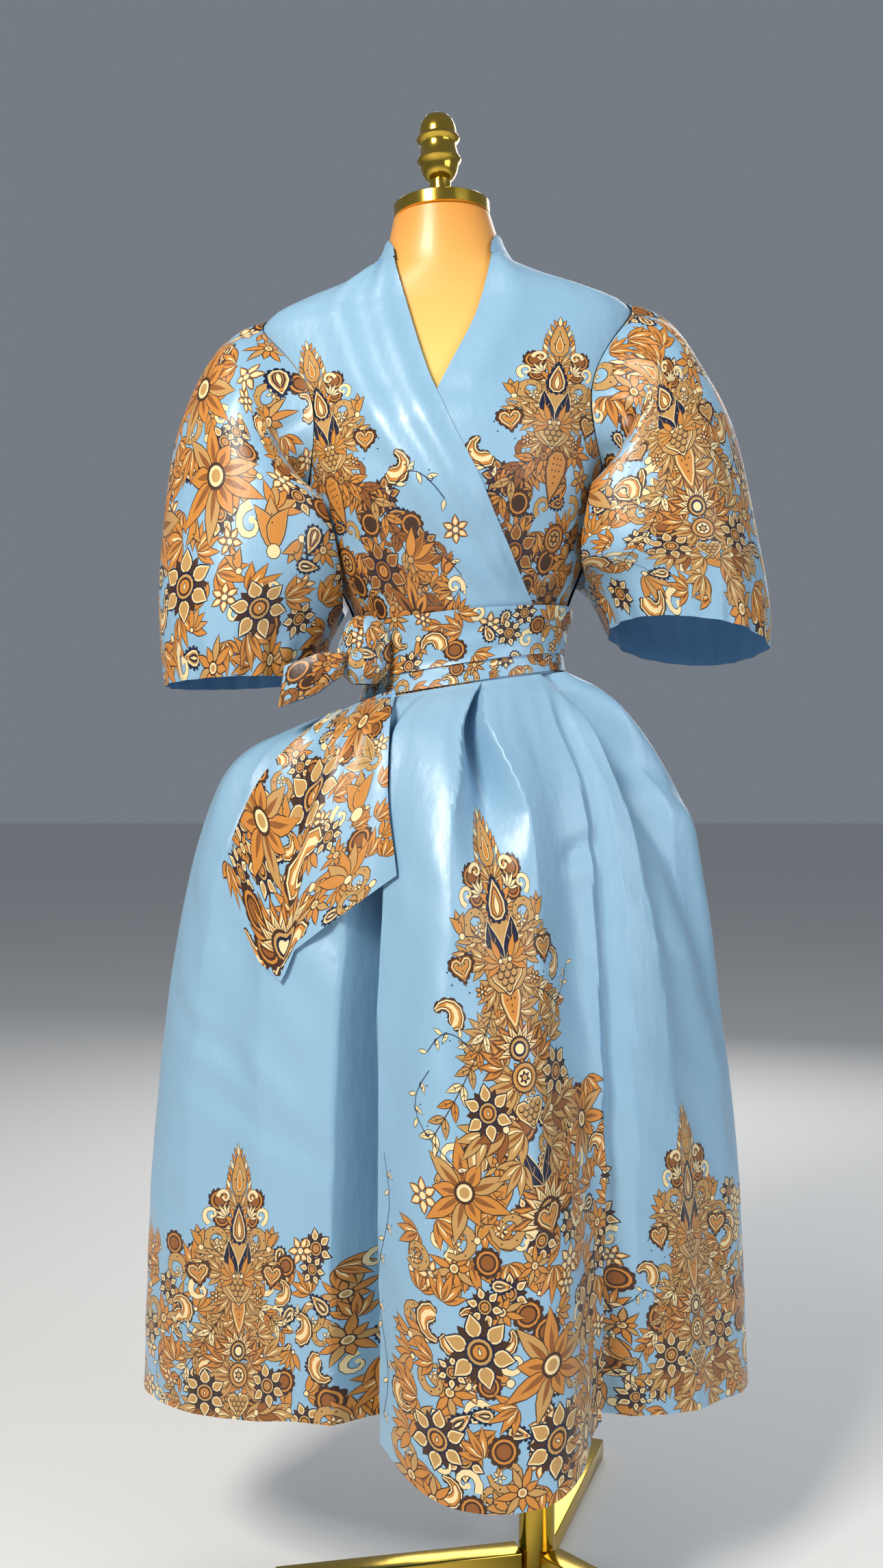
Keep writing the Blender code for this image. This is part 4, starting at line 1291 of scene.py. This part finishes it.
def paisley(size, ink="orange"):
    """A bent drop in a scalloped frill."""
    line = spiral(size * 0.42, -0.58, 2.4, 8, 0.60)
    along, swell = (0, 0.25, 0.6, 0.85, 1), (0.02, 0.16, 0.36, 0.40, 0.16)
    wide = size * np.interp(np.linspace(0, 1, 8), along, swell)
    return [
        ("brown", scalloped(stroke(line, wide + size * 0.16), 15, size * 0.045)),
        ("cream", stroke(line, wide + size * 0.08)),
        ("brown", stroke(line, wide)),
        (ink, stroke(line, np.maximum(wide - 0.0020, 1e-4))),
        ("cream", stroke(line[2:], wide[2:] * 0.40)),
    ]


def headings(line):
    """The turn of an upright motif that is to point along a line, at each of its points."""
    return [math.atan2(way.imag, way.real) - math.pi / 2 for way in np.gradient(line)]


def garland(line, size):
    """Overlapping leaves both sides of a stem."""
    made = [("brown", stroke(line, np.full(len(line), 0.0012)))]
    for k, (place, heading) in enumerate(zip(line, headings(line))):
        one = veined_leaf(size, size * 0.42, ("brown", ("orange", "tan", "cream")[k % 3]), "brown")
        for side in (-1, 1):
            made += moved(one, place, heading - 0.62 * side)
    return made


def vine(line, leaves):
    """A fine dark stem with small leaves, buds and curls."""
    made = [("navy", stroke(line, np.full(len(line), 0.0010)))]
    one = layered(leaf(0.012, 0.0052), ("navy", "cream"), 0.0007)
    curl = spiral(0.0042, 0.8, 0.0, 8)
    curl = [("navy", stroke(curl - curl[0], np.full(8, 0.0009)))]
    turns = headings(line)
    for k in range(1, leaves + 1):
        at = int(k * (len(line) - 1) / leaves)
        side = 1 if k % 2 else -1
        made += moved(one, line[at], turns[at] + 0.9 * side)
        if k % 2:
            made += moved(curl, line[at], turns[at] - 0.9)
            made += dots([line[at] + 0.007 * np.exp(1j * (turns[at] + 3.4))], 0.0009, "navy")
    return made


def rosette(radius):
    """Six pointed dark-edged petals round an eye with a drop in it."""
    made = petals(6, radius * 0.28, radius * 0.60, radius * 0.34, ("brown",), 0.0009, 0.52)
    made += petals(6, radius * 0.30, radius * 0.74, radius * 0.54, ("navy", "cream", "tan"), 0.0015)
    made += layered(disc(radius * 0.42), ("navy", "tan", "brown", "orange"), radius * 0.075)
    eye = layered(drop(radius * 0.26, radius * 0.14, 8), ("navy", "cream"), 0.0008)
    return made + moved(eye, -0.11j * radius)


def lotus(radius):
    """Rows of warm petals opening upward over a ringed eye."""
    made = []
    for row, (long, wide, inks) in enumerate((
        (1.15, 0.34, ("brown", "rust", "orange")), (0.92, 0.30, ("brown", "orange", "cream")),
        (0.70, 0.26, ("brown", "cream", "tan")),
    )):
        for k in range(8):
            turn = (k - 3.5) * 0.46 + 0.10 * (row % 2)
            made += moved(layered(leaf(radius * long, radius * wide), inks, 0.0011), 0, turn)
    made += layered(disc(radius * 0.40), ("brown", "tan", "navy", "cream"), radius * 0.08)
    return made


def star_disc(radius):
    made = petals(12, radius * 0.72, radius * 0.52, radius * 0.36, ("brown", "orange"), 0.0009)
    made += layered(disc(radius), ("brown", "tan", "orange", "brown", "cream"), radius * 0.12)
    made += petals(6, 0.0, radius * 0.46, radius * 0.24, ("brown",), 0.0005)
    return made + layered(disc(radius * 0.16, 8), ("cream", "orange"), 0.0006)


def scaled_heart(size):
    """A hanging heart filled with rows of scales."""
    made = layered(heart(size), ("brown", "cream", "tan"), 0.0012)
    for row in range(4):
        for k in range(4 - row):
            place = (k - (3 - row) / 2) * size * 0.19 + 1j * size * (0.16 - 0.15 * row)
            made.append(("brown", disc(size * 0.10, 8) + place))
            made.append(("tan", disc(size * 0.075, 8) + place + 0.0006j))
    return made


def daisy(radius):
    """Long uneven petals round a beaded eye."""
    made = []
    for k in range(9):
        turn = TAU * k / 9
        long = radius * (1.0 + 0.28 * math.sin(2.1 * k + 0.6))
        one = layered(leaf(long, radius * 0.42), ("brown", ("orange", "tan", "orange")[k % 3]), 0.0010)
        if radius > 0.030:
            one.append(("rust", leaf(long * 0.66, radius * 0.13)))
        made += moved(one, 0.12j * radius * np.exp(1j * turn), turn)
    return made + layered(disc(radius * 0.27), ("brown", "cream", "tan"), radius * 0.07)


def small_bloom(radius):
    made = petals(6, radius * 0.15, radius * 0.85, radius * 0.55, ("brown", "orange", "cream"), 0.0010)
    return made + layered(disc(radius * 0.26, 8), ("navy", "cream"), 0.0009)


def leaf_tuft(size, inks=("brown", "orange")):
    """Five leaves from one point, veined where they are large."""
    made = []
    for turn in (-0.95, 0.95, -0.48, 0.48, 0.0):
        long = size * (1.0 - 0.18 * abs(turn))
        one = layered(leaf(long, size * 0.30), inks, 0.0009)
        if size > 0.022:
            ink = "cream" if abs(turn) == 0.48 else "rust"
            one.append((ink, leaf(long * 0.62, size * 0.085)))
        made += moved(one, 0, turn)
    return made


def fan_frill(radius):
    return [("brown", scalloped(disc(radius), 11, radius * 0.16))] + layered(
        disc(radius * 0.82), ("orange", "brown", "rust"), radius * 0.16
    )


# Leaves on one side of the column's middle: across, up, turn, size
CREST_LEAVES = (
    (0.004, -0.072, -0.9, 0.026), (0.006, -0.100, -1.6, 0.030), (0.010, -0.128, -1.2, 0.032),
    (0.030, -0.122, -1.6, 0.030), (0.024, -0.146, -1.3, 0.030), (0.004, -0.160, -2.2, 0.026),
    (0.016, -0.172, -2.0, 0.028), (0.044, -0.136, -1.9, 0.024),
)
HEART_LEAVES = (
    (0.006, -0.196, -1.5, 0.034), (0.012, -0.222, -1.9, 0.036), (0.010, -0.262, -1.6, 0.040),
    (0.044, -0.236, -0.8, 0.034), (0.012, -0.306, -1.9, 0.040), (0.052, -0.300, -2.2, 0.038),
    (0.020, -0.334, -2.4, 0.034), (0.034, -0.212, -1.3, 0.030),
)


def column_head():
    """The tall crest of the border; its tip is at 0 and it hangs 170 mm down."""
    made = []
    for x, y, turn, size in CREST_LEAVES:
        made += both_ways(moved(leaf_tuft(size, ("brown", "tan")), complex(x, y), turn))
    made += both_ways(moved(fan_frill(0.0125), 0.0285 - 0.064j))
    made += both_ways(moved(fan_frill(0.0105), 0.0250 - 0.084j))
    made += moved(leaf_tuft(0.034), -0.096j, 0.0)
    made += both_ways(moved(rolled_arm(0.0175), 0.0300 - 0.108j, 0.2))
    made += moved(layered(drop(0.086, 0.060, 16), ("brown", "tan"), 0.0011), -0.180j)
    made += moved(scaled_heart(0.044), -0.162j)
    made += flame()
    made += both_ways(moved(scroll(0.0095), 0.0215 - 0.060j, 0.4))
    made += both_ways(moved(scroll(0.0110), 0.0375 - 0.080j, -0.9))
    made += both_ways(moved(leaf_tuft(0.018, ("navy", "cream")), 0.0190 - 0.082j, -0.7))
    made += moved(ogee(0.046), -0.112j)
    made += moved(twin_leaf(0.044), -0.148j)
    stem = 0.004 - 0.140j + np.linspace(0, 1, 8) * (0.046 + 0.022j)
    stem = stem + 0.006j * np.sin(np.linspace(0, math.pi, 8))
    made += both_ways([("navy", stroke(stem, np.full(8, 0.0011)))])
    made += both_ways(moved(tulip(0.027), 0.0500 - 0.118j, -0.2))
    made += both_ways(moved(heart_flower(0.026), 0.0540 - 0.147j, -0.15))
    made += both_ways(moved(fan(0.025), 0.0060 - 0.148j, -1.25))
    made += both_ways(moved(small_bloom(0.009), 0.0330 - 0.172j))
    places = [
        0.036 - 0.052j, 0.041 - 0.058j, 0.040 - 0.066j, 0.072 - 0.150j, 0.068 - 0.162j, 0.048 - 0.171j,
    ]
    return made + both_ways(dots(places, 0.0011, "navy"))


def column_heart():
    """What hangs below the crest: drop, garlands, lotus and rosettes, 170 to 380 mm down."""
    t = np.linspace(0, 1, 9)
    left = -0.020 - 0.182j - 0.085 * t ** 1.2 - 0.115j * t
    right = 0.022 - 0.178j + 0.058 * t - 0.046j * t ** 1.5
    made = []
    for x, y, turn, size in HEART_LEAVES:
        made += both_ways(moved(leaf_tuft(size, ("brown", "tan")), complex(x, y), turn))
    made += garland(left, 0.021)
    made += garland(right[:7], 0.020)
    made += both_ways(moved(leaf_tuft(0.034, ("brown", "rust", "orange")), 0.020 - 0.245j, -0.9))
    made += both_ways(moved(fan(0.034, "rust"), 0.030 - 0.300j, -1.8))
    made += moved(lotus(0.031), -0.232j)
    made += moved(hanging_drop(), -0.163j)
    made += moved(star_disc(0.0150), -0.259j)
    made += moved(scaled_heart(0.036), -0.292j)
    made += moved(rosette(0.027), -0.046 - 0.282j)
    made += moved(rosette(0.026), 0.047 - 0.270j, 0.1)
    made += moved(paisley(0.036), -0.077 - 0.192j, 0.2)
    made += moved(paisley(0.032), 0.064 - 0.166j, -0.9)
    made += vine(-0.052 - 0.226j - 0.052 * t + 0.020j * np.sin(3 * t), 6)
    made += vine(0.064 - 0.205j + 0.036 * t + 0.026j * t ** 2, 6)
    made += vine(-0.104 - 0.240j - 0.022 * np.sin(4 * t) - 0.090j * t, 7)
    return made


def column_foot():
    """The dark lotus and long-petalled daisies under the rosettes."""
    made = both_ways(moved(paisley(0.052, "tan"), 0.052 - 0.326j, 0.6))
    made += moved(daisy(0.040), -0.083 - 0.350j)
    made += moved(daisy(0.036), 0.086 - 0.336j, 0.3)
    made += moved(lotus(0.038), -0.388j)
    made += moved(twin_leaf(0.042), -0.362j)
    made += moved(heart_flower(0.030), -0.392j)
    return made


def inside(region, place):
    """Whether a place lies in a region drawn as an outline."""
    a, b = region, np.roll(region, -1)
    crosses = (a.imag > place.imag) != (b.imag > place.imag)
    rise = np.where(b.imag == a.imag, 1e-12, b.imag - a.imag)
    at = a.real + (place.imag - a.imag) / rise * (b.real - a.real)
    return bool(np.count_nonzero(crosses & (at > place.real)) % 2)


# Small motifs for all_over, each with its size as a share of the usual one
FILLERS = (
    (leaf_tuft, 1.6), (paisley, 1.7), (small_bloom, 0.8), (fan, 1.3), (leaf_tuft, 1.5),
    (scroll, 0.7), (tulip, 1.5), (daisy, 0.95), (leaf_tuft, 1.7), (rolled_arm, 0.8),
    (rosette, 0.95), (fan_frill, 0.7), (ogee, 1.4),
)


def all_over(region, spacing, seed, size=0.020, dark=False, clear=()):
    """Motifs strewn evenly over a region, none where a larger one is to lie."""
    draw = random.Random(seed)
    low = complex(region.real.min(), region.imag.min())
    high = complex(region.real.max(), region.imag.max())
    placed = []
    tries = int((high - low).real * (high - low).imag / spacing ** 2 * 14)
    for _ in range(tries):
        place = complex(draw.uniform(low.real, high.real), draw.uniform(low.imag, high.imag))
        if any(abs(place - middle) < radius for middle, radius in clear):
            continue
        if inside(region, place) and all(abs(place - other) > spacing for other in placed):
            placed.append(place)
    made = []
    for k, place in enumerate(placed):
        motif, share = FILLERS[(k * 5 + seed) % len(FILLERS)]
        drawn = motif(size * share * draw.uniform(0.8, 1.15))
        made += moved(drawn, place, draw.uniform(-math.pi, math.pi))
    return darkened(made) if dark else made


DARKER = {"tan": "rust", "cream": "tan", "rust": "brown"}


def darkened(shapes):
    return [(DARKER.get(ink, ink), shape) for ink, shape in shapes]


def polygon(*corners):
    return np.array([complex(*corner) for corner in corners])


def column_of_print(place, turn, size=1.0, foot=True):
    made = column_heart() + column_head()
    if foot:
        made = column_foot() + made
    return moved(made, place, turn, size)


BODICE_COLUMN = 0.82
# Round motifs on the front skirt: across, up, radius
LARGE_ON_BODY = (
    (0.030, 0.350, 0.034), (0.165, 0.345, 0.034), (-0.010, 0.265, 0.028), (0.100, 0.262, 0.032),
    (0.205, 0.255, 0.028),
)


def skirt_front_print():
    """The tall column over a full field in the middle, a smaller column over each side's border."""
    clear = [(complex(u, v), radius * 0.6) for u, v, radius in LARGE_ON_BODY]
    clear.append((0.098 + 0.330j, 0.025))
    body = polygon(
        (-0.055, 0.21), (0.255, 0.21), (0.235, 0.42), (0.200, 0.565), (0.045, 0.570), (-0.035, 0.47)
    )
    left = polygon(
        (-0.470, 0.21), (-0.105, 0.21), (-0.130, 0.37), (-0.200, 0.400), (-0.390, 0.385), (-0.470, 0.34)
    )
    right = polygon((0.280, 0.21), (0.470, 0.21), (0.470, 0.40), (0.400, 0.44), (0.285, 0.42))
    made = all_over(body, 0.0170, 3, 0.020, clear=clear)
    made += all_over(left, 0.020, 5, 0.020) + all_over(right, 0.020, 8, 0.020)
    made += column_of_print(-0.289 + 0.494j, 0.02, 0.92, foot=False)
    made += column_of_print(0.333 + 0.532j, 0.04, 0.92, foot=False)
    made += column_of_print(0.055 + 0.848j, 0.13)
    for u, v, radius in LARGE_ON_BODY:
        made += moved(rosette(radius), complex(u, v), u * 9)
    made += moved(daisy(0.042), 0.098 + 0.330j) + moved(lotus(0.036), 0.152 + 0.236j)
    stem = -0.082 + 1j * np.linspace(0.50, 0.25, 16) + 0.010 * np.sin(np.linspace(0, 9, 16))
    return made + vine(stem, 11)


def skirt_back_print():
    """Three columns over a border along the hem."""
    hem = polygon(
        (0.475, 0.21), (1.41, 0.21), (1.41, 0.39), (1.20, 0.43), (0.94, 0.40), (0.70, 0.43), (0.475, 0.38)
    )
    made = all_over(hem, 0.027, 11, 0.024)
    for u, v, size in ((0.640, 0.560, 0.92), (0.943, 0.848, 1.0), (1.245, 0.560, 0.92)):
        made += column_of_print(complex(u, v), 0.0, size, foot=size == 1.0)
    return made


def back_print():
    """A column's crest between the shoulders over a dark body."""
    body = polygon((0.26, 0.98), (0.68, 0.98), (0.66, 1.20), (0.28, 1.20))
    made = all_over(body, 0.030, 23, 0.022, dark=True)
    return made + moved(column_head(), 0.471 + 1.36j, 0, BODICE_COLUMN)


def bodice_print(tip, flip):
    """The column's crest high on the chest over a dark body down to the waist."""
    t = np.linspace(0, 1, 9)
    made = moved(column_head(), 0, 0, BODICE_COLUMN)
    made += moved(paisley(0.034), 0.068 - 0.152j, -1.2)
    made += vine(0.052 - 0.190j + 0.062 * t + 0.030j * np.sin(3 * t), 6)
    made += vine(0.098 - 0.235j + 0.030 * np.sin(5 * t) - 0.100j * t, 8)
    made += moved(small_bloom(0.015), 0.123 - 0.215j)
    made += moved(scroll(0.012), 0.118 - 0.272j)
    body = polygon(
        (-0.110, -0.150), (0.020, -0.140), (0.070, -0.195), (0.115, -0.265), (0.150, -0.400),
        (-0.130, -0.400),
    )
    made = all_over(body, 0.0155, 17, 0.018, dark=True) + made
    dark = garland(0.018 - 0.160j + 0.070 * t ** 0.8 - 0.140j * t ** 1.4, 0.023)
    dark += moved(hanging_drop(), -0.010 - 0.148j, 0.10)
    dark += moved(rosette(0.030), 0.030 - 0.250j) + moved(rosette(0.027), -0.042 - 0.300j)
    dark += moved(star_disc(0.016), -0.022 - 0.235j) + moved(daisy(0.036), 0.062 - 0.300j)
    dark += moved(fan(0.034), 0.070 - 0.242j, -1.1)
    shapes = made + darkened(dark)
    return moved(mirrored(shapes) if flip else shapes, tip)


SLEEVE_MOTIFS = {
    "right": (
        (daisy, 0.395, -0.100, 2.4, 0.046), (daisy, 0.450, -0.175, 0.4, 0.044),
        (daisy, 0.350, -0.215, 2.0, 0.046), (rosette, 0.430, -0.265, 0.1, 0.034),
        (rosette, 0.520, -0.285, 0.5, 0.032), (lotus, 0.300, -0.120, 0.3, 0.034),
        (tulip, 0.520, -0.225, 0.2, 0.050), (paisley, 0.330, -0.300, 0.4, 0.050),
        (daisy, 0.150, -0.120, 1.0, 0.044), (rosette, 0.230, -0.230, 0.0, 0.034),
        (daisy, 0.090, -0.250, 2.2, 0.044), (lotus, 0.560, -0.110, 0.0, 0.034),
    ),
    "left": (
        (daisy, 0.350, -0.110, 1.4, 0.044), (rosette, 0.315, -0.225, 0.1, 0.034),
        (paisley, 0.330, -0.300, 2.4, 0.050), (daisy, 0.450, -0.220, 0.4, 0.044),
        (lotus, 0.480, -0.100, 0.3, 0.036), (rosette, 0.560, -0.270, 0.0, 0.034),
        (daisy, 0.080, -0.150, 1.0, 0.044), (paisley, 0.060, -0.270, 0.6, 0.052),
    ),
}


def laid(motifs):
    """Large motifs, each from its row: what, across, up, turn, size."""
    made = []
    for motif, u, v, turn, size in motifs:
        made += moved(motif(size), complex(u, v), turn)
    return made


def sleeve_print(side, seed):
    """Daisies and rosettes all round; the left sleeve shows a column of the border in front."""
    left, right = 0.006, TAU * SLEEVE_R - 0.006
    region = polygon((left, -0.334), (right, -0.334), (right, -0.010), (left, -0.010))
    clear = [(complex(row[1], row[2]), row[4] * 0.55) for row in SLEEVE_MOTIFS[side]]
    made = all_over(region, 0.0215, seed, 0.021, clear=clear)
    if side == "left":
        made += moved(column_heart() + column_head(), 0.195 - 0.018j, 0.0, 0.86)
    return made + laid(SLEEVE_MOTIFS[side])


def veined_pair(size):
    """Two pale leaves with a dark edge, in a V."""
    one = veined_leaf(size, size * 0.42, ("navy", "cream", "tan"), "brown")
    return both_ways(moved(one, 0, -0.5))


def strip_print(long, low, high, spacing, seed, size, dark=False):
    region = polygon((-long / 2, low), (long / 2, low), (long / 2, high), (-long / 2, high))
    return all_over(region, spacing, seed, size, dark)


TAIL_MOTIFS = (
    (daisy, 0.130, -0.040, 2.6, 0.044), (rosette, 0.075, -0.105, 0.3, 0.040),
    (tulip, 0.150, -0.165, 0.0, 0.056), (veined_pair, 0.165, -0.105, 0.9, 0.046),
    (daisy, 0.020, -0.160, 1.2, 0.044), (paisley, 0.090, -0.180, 2.0, 0.056),
    (lotus, 0.070, -0.240, 0.4, 0.036), (fan, 0.140, -0.235, 0.2, 0.040),
)


def tail_print():
    return strip_print(0.36, -0.265, -0.005, 0.0195, 13, 0.020) + laid(TAIL_MOTIFS)


PRINTS = {
    "over": bodice_print(-0.127 + 1.352j, False),
    "under": bodice_print(0.094 + 1.362j, True),
    "back": back_print(),
    "sleeve_right": sleeve_print("right", 2),
    "sleeve_left": sleeve_print("left", 9),
    "waist": strip_print(TAU * BAND_R, 0.975, 0.9975, 0.014, 4, 0.012),
    "sash": strip_print(TAU * BAND_R, 0.998, 1.055, 0.0185, 6, 0.017),
    "skirt_front": skirt_front_print(),
    "skirt_back": skirt_back_print(),
    "tail": tail_print(),
    "knot": strip_print(0.33, 0.000, KNOT_TALL, 0.0150, 14, 0.015),
    "loop": strip_print(0.31, -LOOP_TALL, 0.000, 0.0110, 15, 0.016, dark=True),
}


# the dress


def bodice():
    heights = np.linspace(WAIST_Z, SHOULDER_Z, 70)
    over_edge, under_edge = edge_azimuth(heights, "over_edge"), edge_azimuth(heights, "under_edge")
    side = side_limit(heights)
    limit = armhole_sweep(heights) + seam_slack(heights)
    left, right = math.pi / 2 + limit, 3 * math.pi / 2 - limit
    over = between(heights, -side * BODICE_R, over_edge * BODICE_R)
    under = between(heights, under_edge * BODICE_R, side * BODICE_R)
    back = between(heights, left * BODICE_R, right * BODICE_R)
    cloth("right_front", over_surface, over, "bodice_front_over", PRINTS["over"], (0.007, 0.006))
    cloth("left_front", under_surface, under, "bodice_front_under", PRINTS["under"], (0.007, 0.006))
    cloth("back", back_surface, back, "bodice_back", PRINTS["back"], (0.009, 0.007))


def collar():
    """The stand's ends slope back from the front edges."""
    start = edge_azimuth(SHOULDER_Z, "under_edge") * COLLAR_R
    end = (TAU + edge_azimuth(SHOULDER_Z, "over_edge")) * COLLAR_R
    slope = ((0.0070, COLLAR_SHOWS * 0.55), (0.0240, COLLAR_SHOWS))
    outline = [complex(start - 0.003, 0), complex(end + 0.003, 0)]
    outline += [complex(end - inward, up) for inward, up in slope]
    outline += [complex(start + inward, up) for inward, up in slope[::-1]]
    cloth("collar_stand", collar_surface, outline, "collar", (), (0.004, 0.004))


def tube(name, surface, ends, low, high, node, prints, spacing):
    """Cloth whose two ends of u are sewn together."""
    cloth(name, surface, rectangle(*ends, low, high), node, prints, spacing, ends)


def sleeves():
    for hand in ("left", "right"):
        node = f"sleeve_{hand}"
        tube(
            f"puff_{node}", sleeve_surface(hand), (0, TAU * SLEEVE_R), -SLEEVE_RUN, 0,
            node, PRINTS[node], (0.006, 0.006),
        )


def waist():
    half = math.pi * BAND_R
    band, sash = band_surface(0.0076, 1.0, 0.0003), band_surface(0.0096, 2.0, 0.0009)
    ends, spacing = (-half, half), (0.006, 0.004)
    tube("lower_band", band, ends, 0.9750, 0.9975, "waist_band", PRINTS["waist"], spacing)
    tube("sash", sash, ends, 0.9965, 1.0560, "sash_band", PRINTS["sash"], spacing)


def skirt():
    """Front and back stop just short of each other at the side seams."""
    quarter, slack = math.pi / 2 * SKIRT_R, 0.0003
    for name, node, left, right, spacing in (
        ("front_skirt", "skirt_front", -quarter, quarter, (0.0060, 0.0085)),
        ("back_skirt", "skirt_back", quarter, 3 * quarter, (0.008, 0.010)),
    ):
        outline = rectangle(left + slack, right - slack, HEM_LINE_Z, SKIRT_TOP_Z)
        cloth(name, skirt_surface, outline, node, PRINTS[node], spacing)


def sash_ends():
    tail = rectangle(0, TAIL_WIDE, -TAIL_LONG, 0)
    cloth("hanging_end", tail_surface, tail, "sash_tail", PRINTS["tail"], (0.006, 0.006))
    knot, loop = (0, TAU * KNOT_R), (0, TAU * LOOP_R)
    spacing = (0.004, 0.004)
    tube("knot", knot_surface, knot, 0, KNOT_TALL, "sash_knot", PRINTS["knot"], spacing)
    tube("loop", loop_surface, loop, -LOOP_TALL, 0, "sash_loop", PRINTS["loop"], spacing)


dress_form()
cap_and_finial()
pole_and_socket()
for number, heading in enumerate(LEG_HEADINGS, 1):
    tripod_bar(number, heading)
bodice()
collar()
sleeves()
waist()
skirt()
sash_ends()

# floor, light and camera

CAMERA_PLACE = (-0.106, -1.68, 0.87)
SENSOR_MM, FOCAL_PX, PHOTO_TALL_PX = 36, 2203, 2292
# Name, place, aim, size, power, colour
LAMPS = (
    ("key", (-1.5, -2.3, 2.8), (-0.1, 0, 0.9), 0.9, 118, (1.0, 0.96, 0.89)),
    ("fill", (2.3, -2.0, 1.7), (-0.1, 0, 0.8), 1.8, 34, (0.86, 0.93, 1.0)),
    ("back", (0.6, 2.6, 2.2), (-0.1, 0, 1.0), 2.0, 45, (1.0, 1.0, 1.0)),
)


def floor():
    bpy.ops.mesh.primitive_plane_add(size=60, location=(0, 1.5, -0.0005))
    ground = bpy.context.active_object
    ground.data.materials.append(FLOOR)


def soft_box(name, place, aim, size, power, colour):
    bpy.ops.object.light_add(type="AREA", location=place)
    lamp = bpy.context.active_object
    lamp.name = name
    lamp.data.size = size
    lamp.data.energy = power
    lamp.data.color = colour
    way = Vector(aim) - Vector(place)
    lamp.rotation_euler = way.to_track_quat("-Z", "Y").to_euler()


def studio_air():
    """Soft bluish light from all round."""
    world = bpy.data.worlds.new("studio")
    world.use_nodes = True
    background = world.node_tree.nodes["Background"]
    background.inputs[0].default_value = (0.72, 0.80, 0.92, 1)
    background.inputs[1].default_value = 0.25
    bpy.context.scene.world = world


def photo_camera():
    """Level, straight in front; the view transform keeps the cloth's own colours."""
    bpy.ops.object.camera_add(location=CAMERA_PLACE, rotation=(math.pi / 2, 0, 0))
    camera = bpy.context.active_object
    camera.data.sensor_width = SENSOR_MM
    camera.data.lens = SENSOR_MM * FOCAL_PX / PHOTO_TALL_PX
    bpy.context.scene.camera = camera
    bpy.context.scene.view_settings.view_transform = "Standard"


floor()
for lamp in LAMPS:
    soft_box(*lamp)
studio_air()
photo_camera()
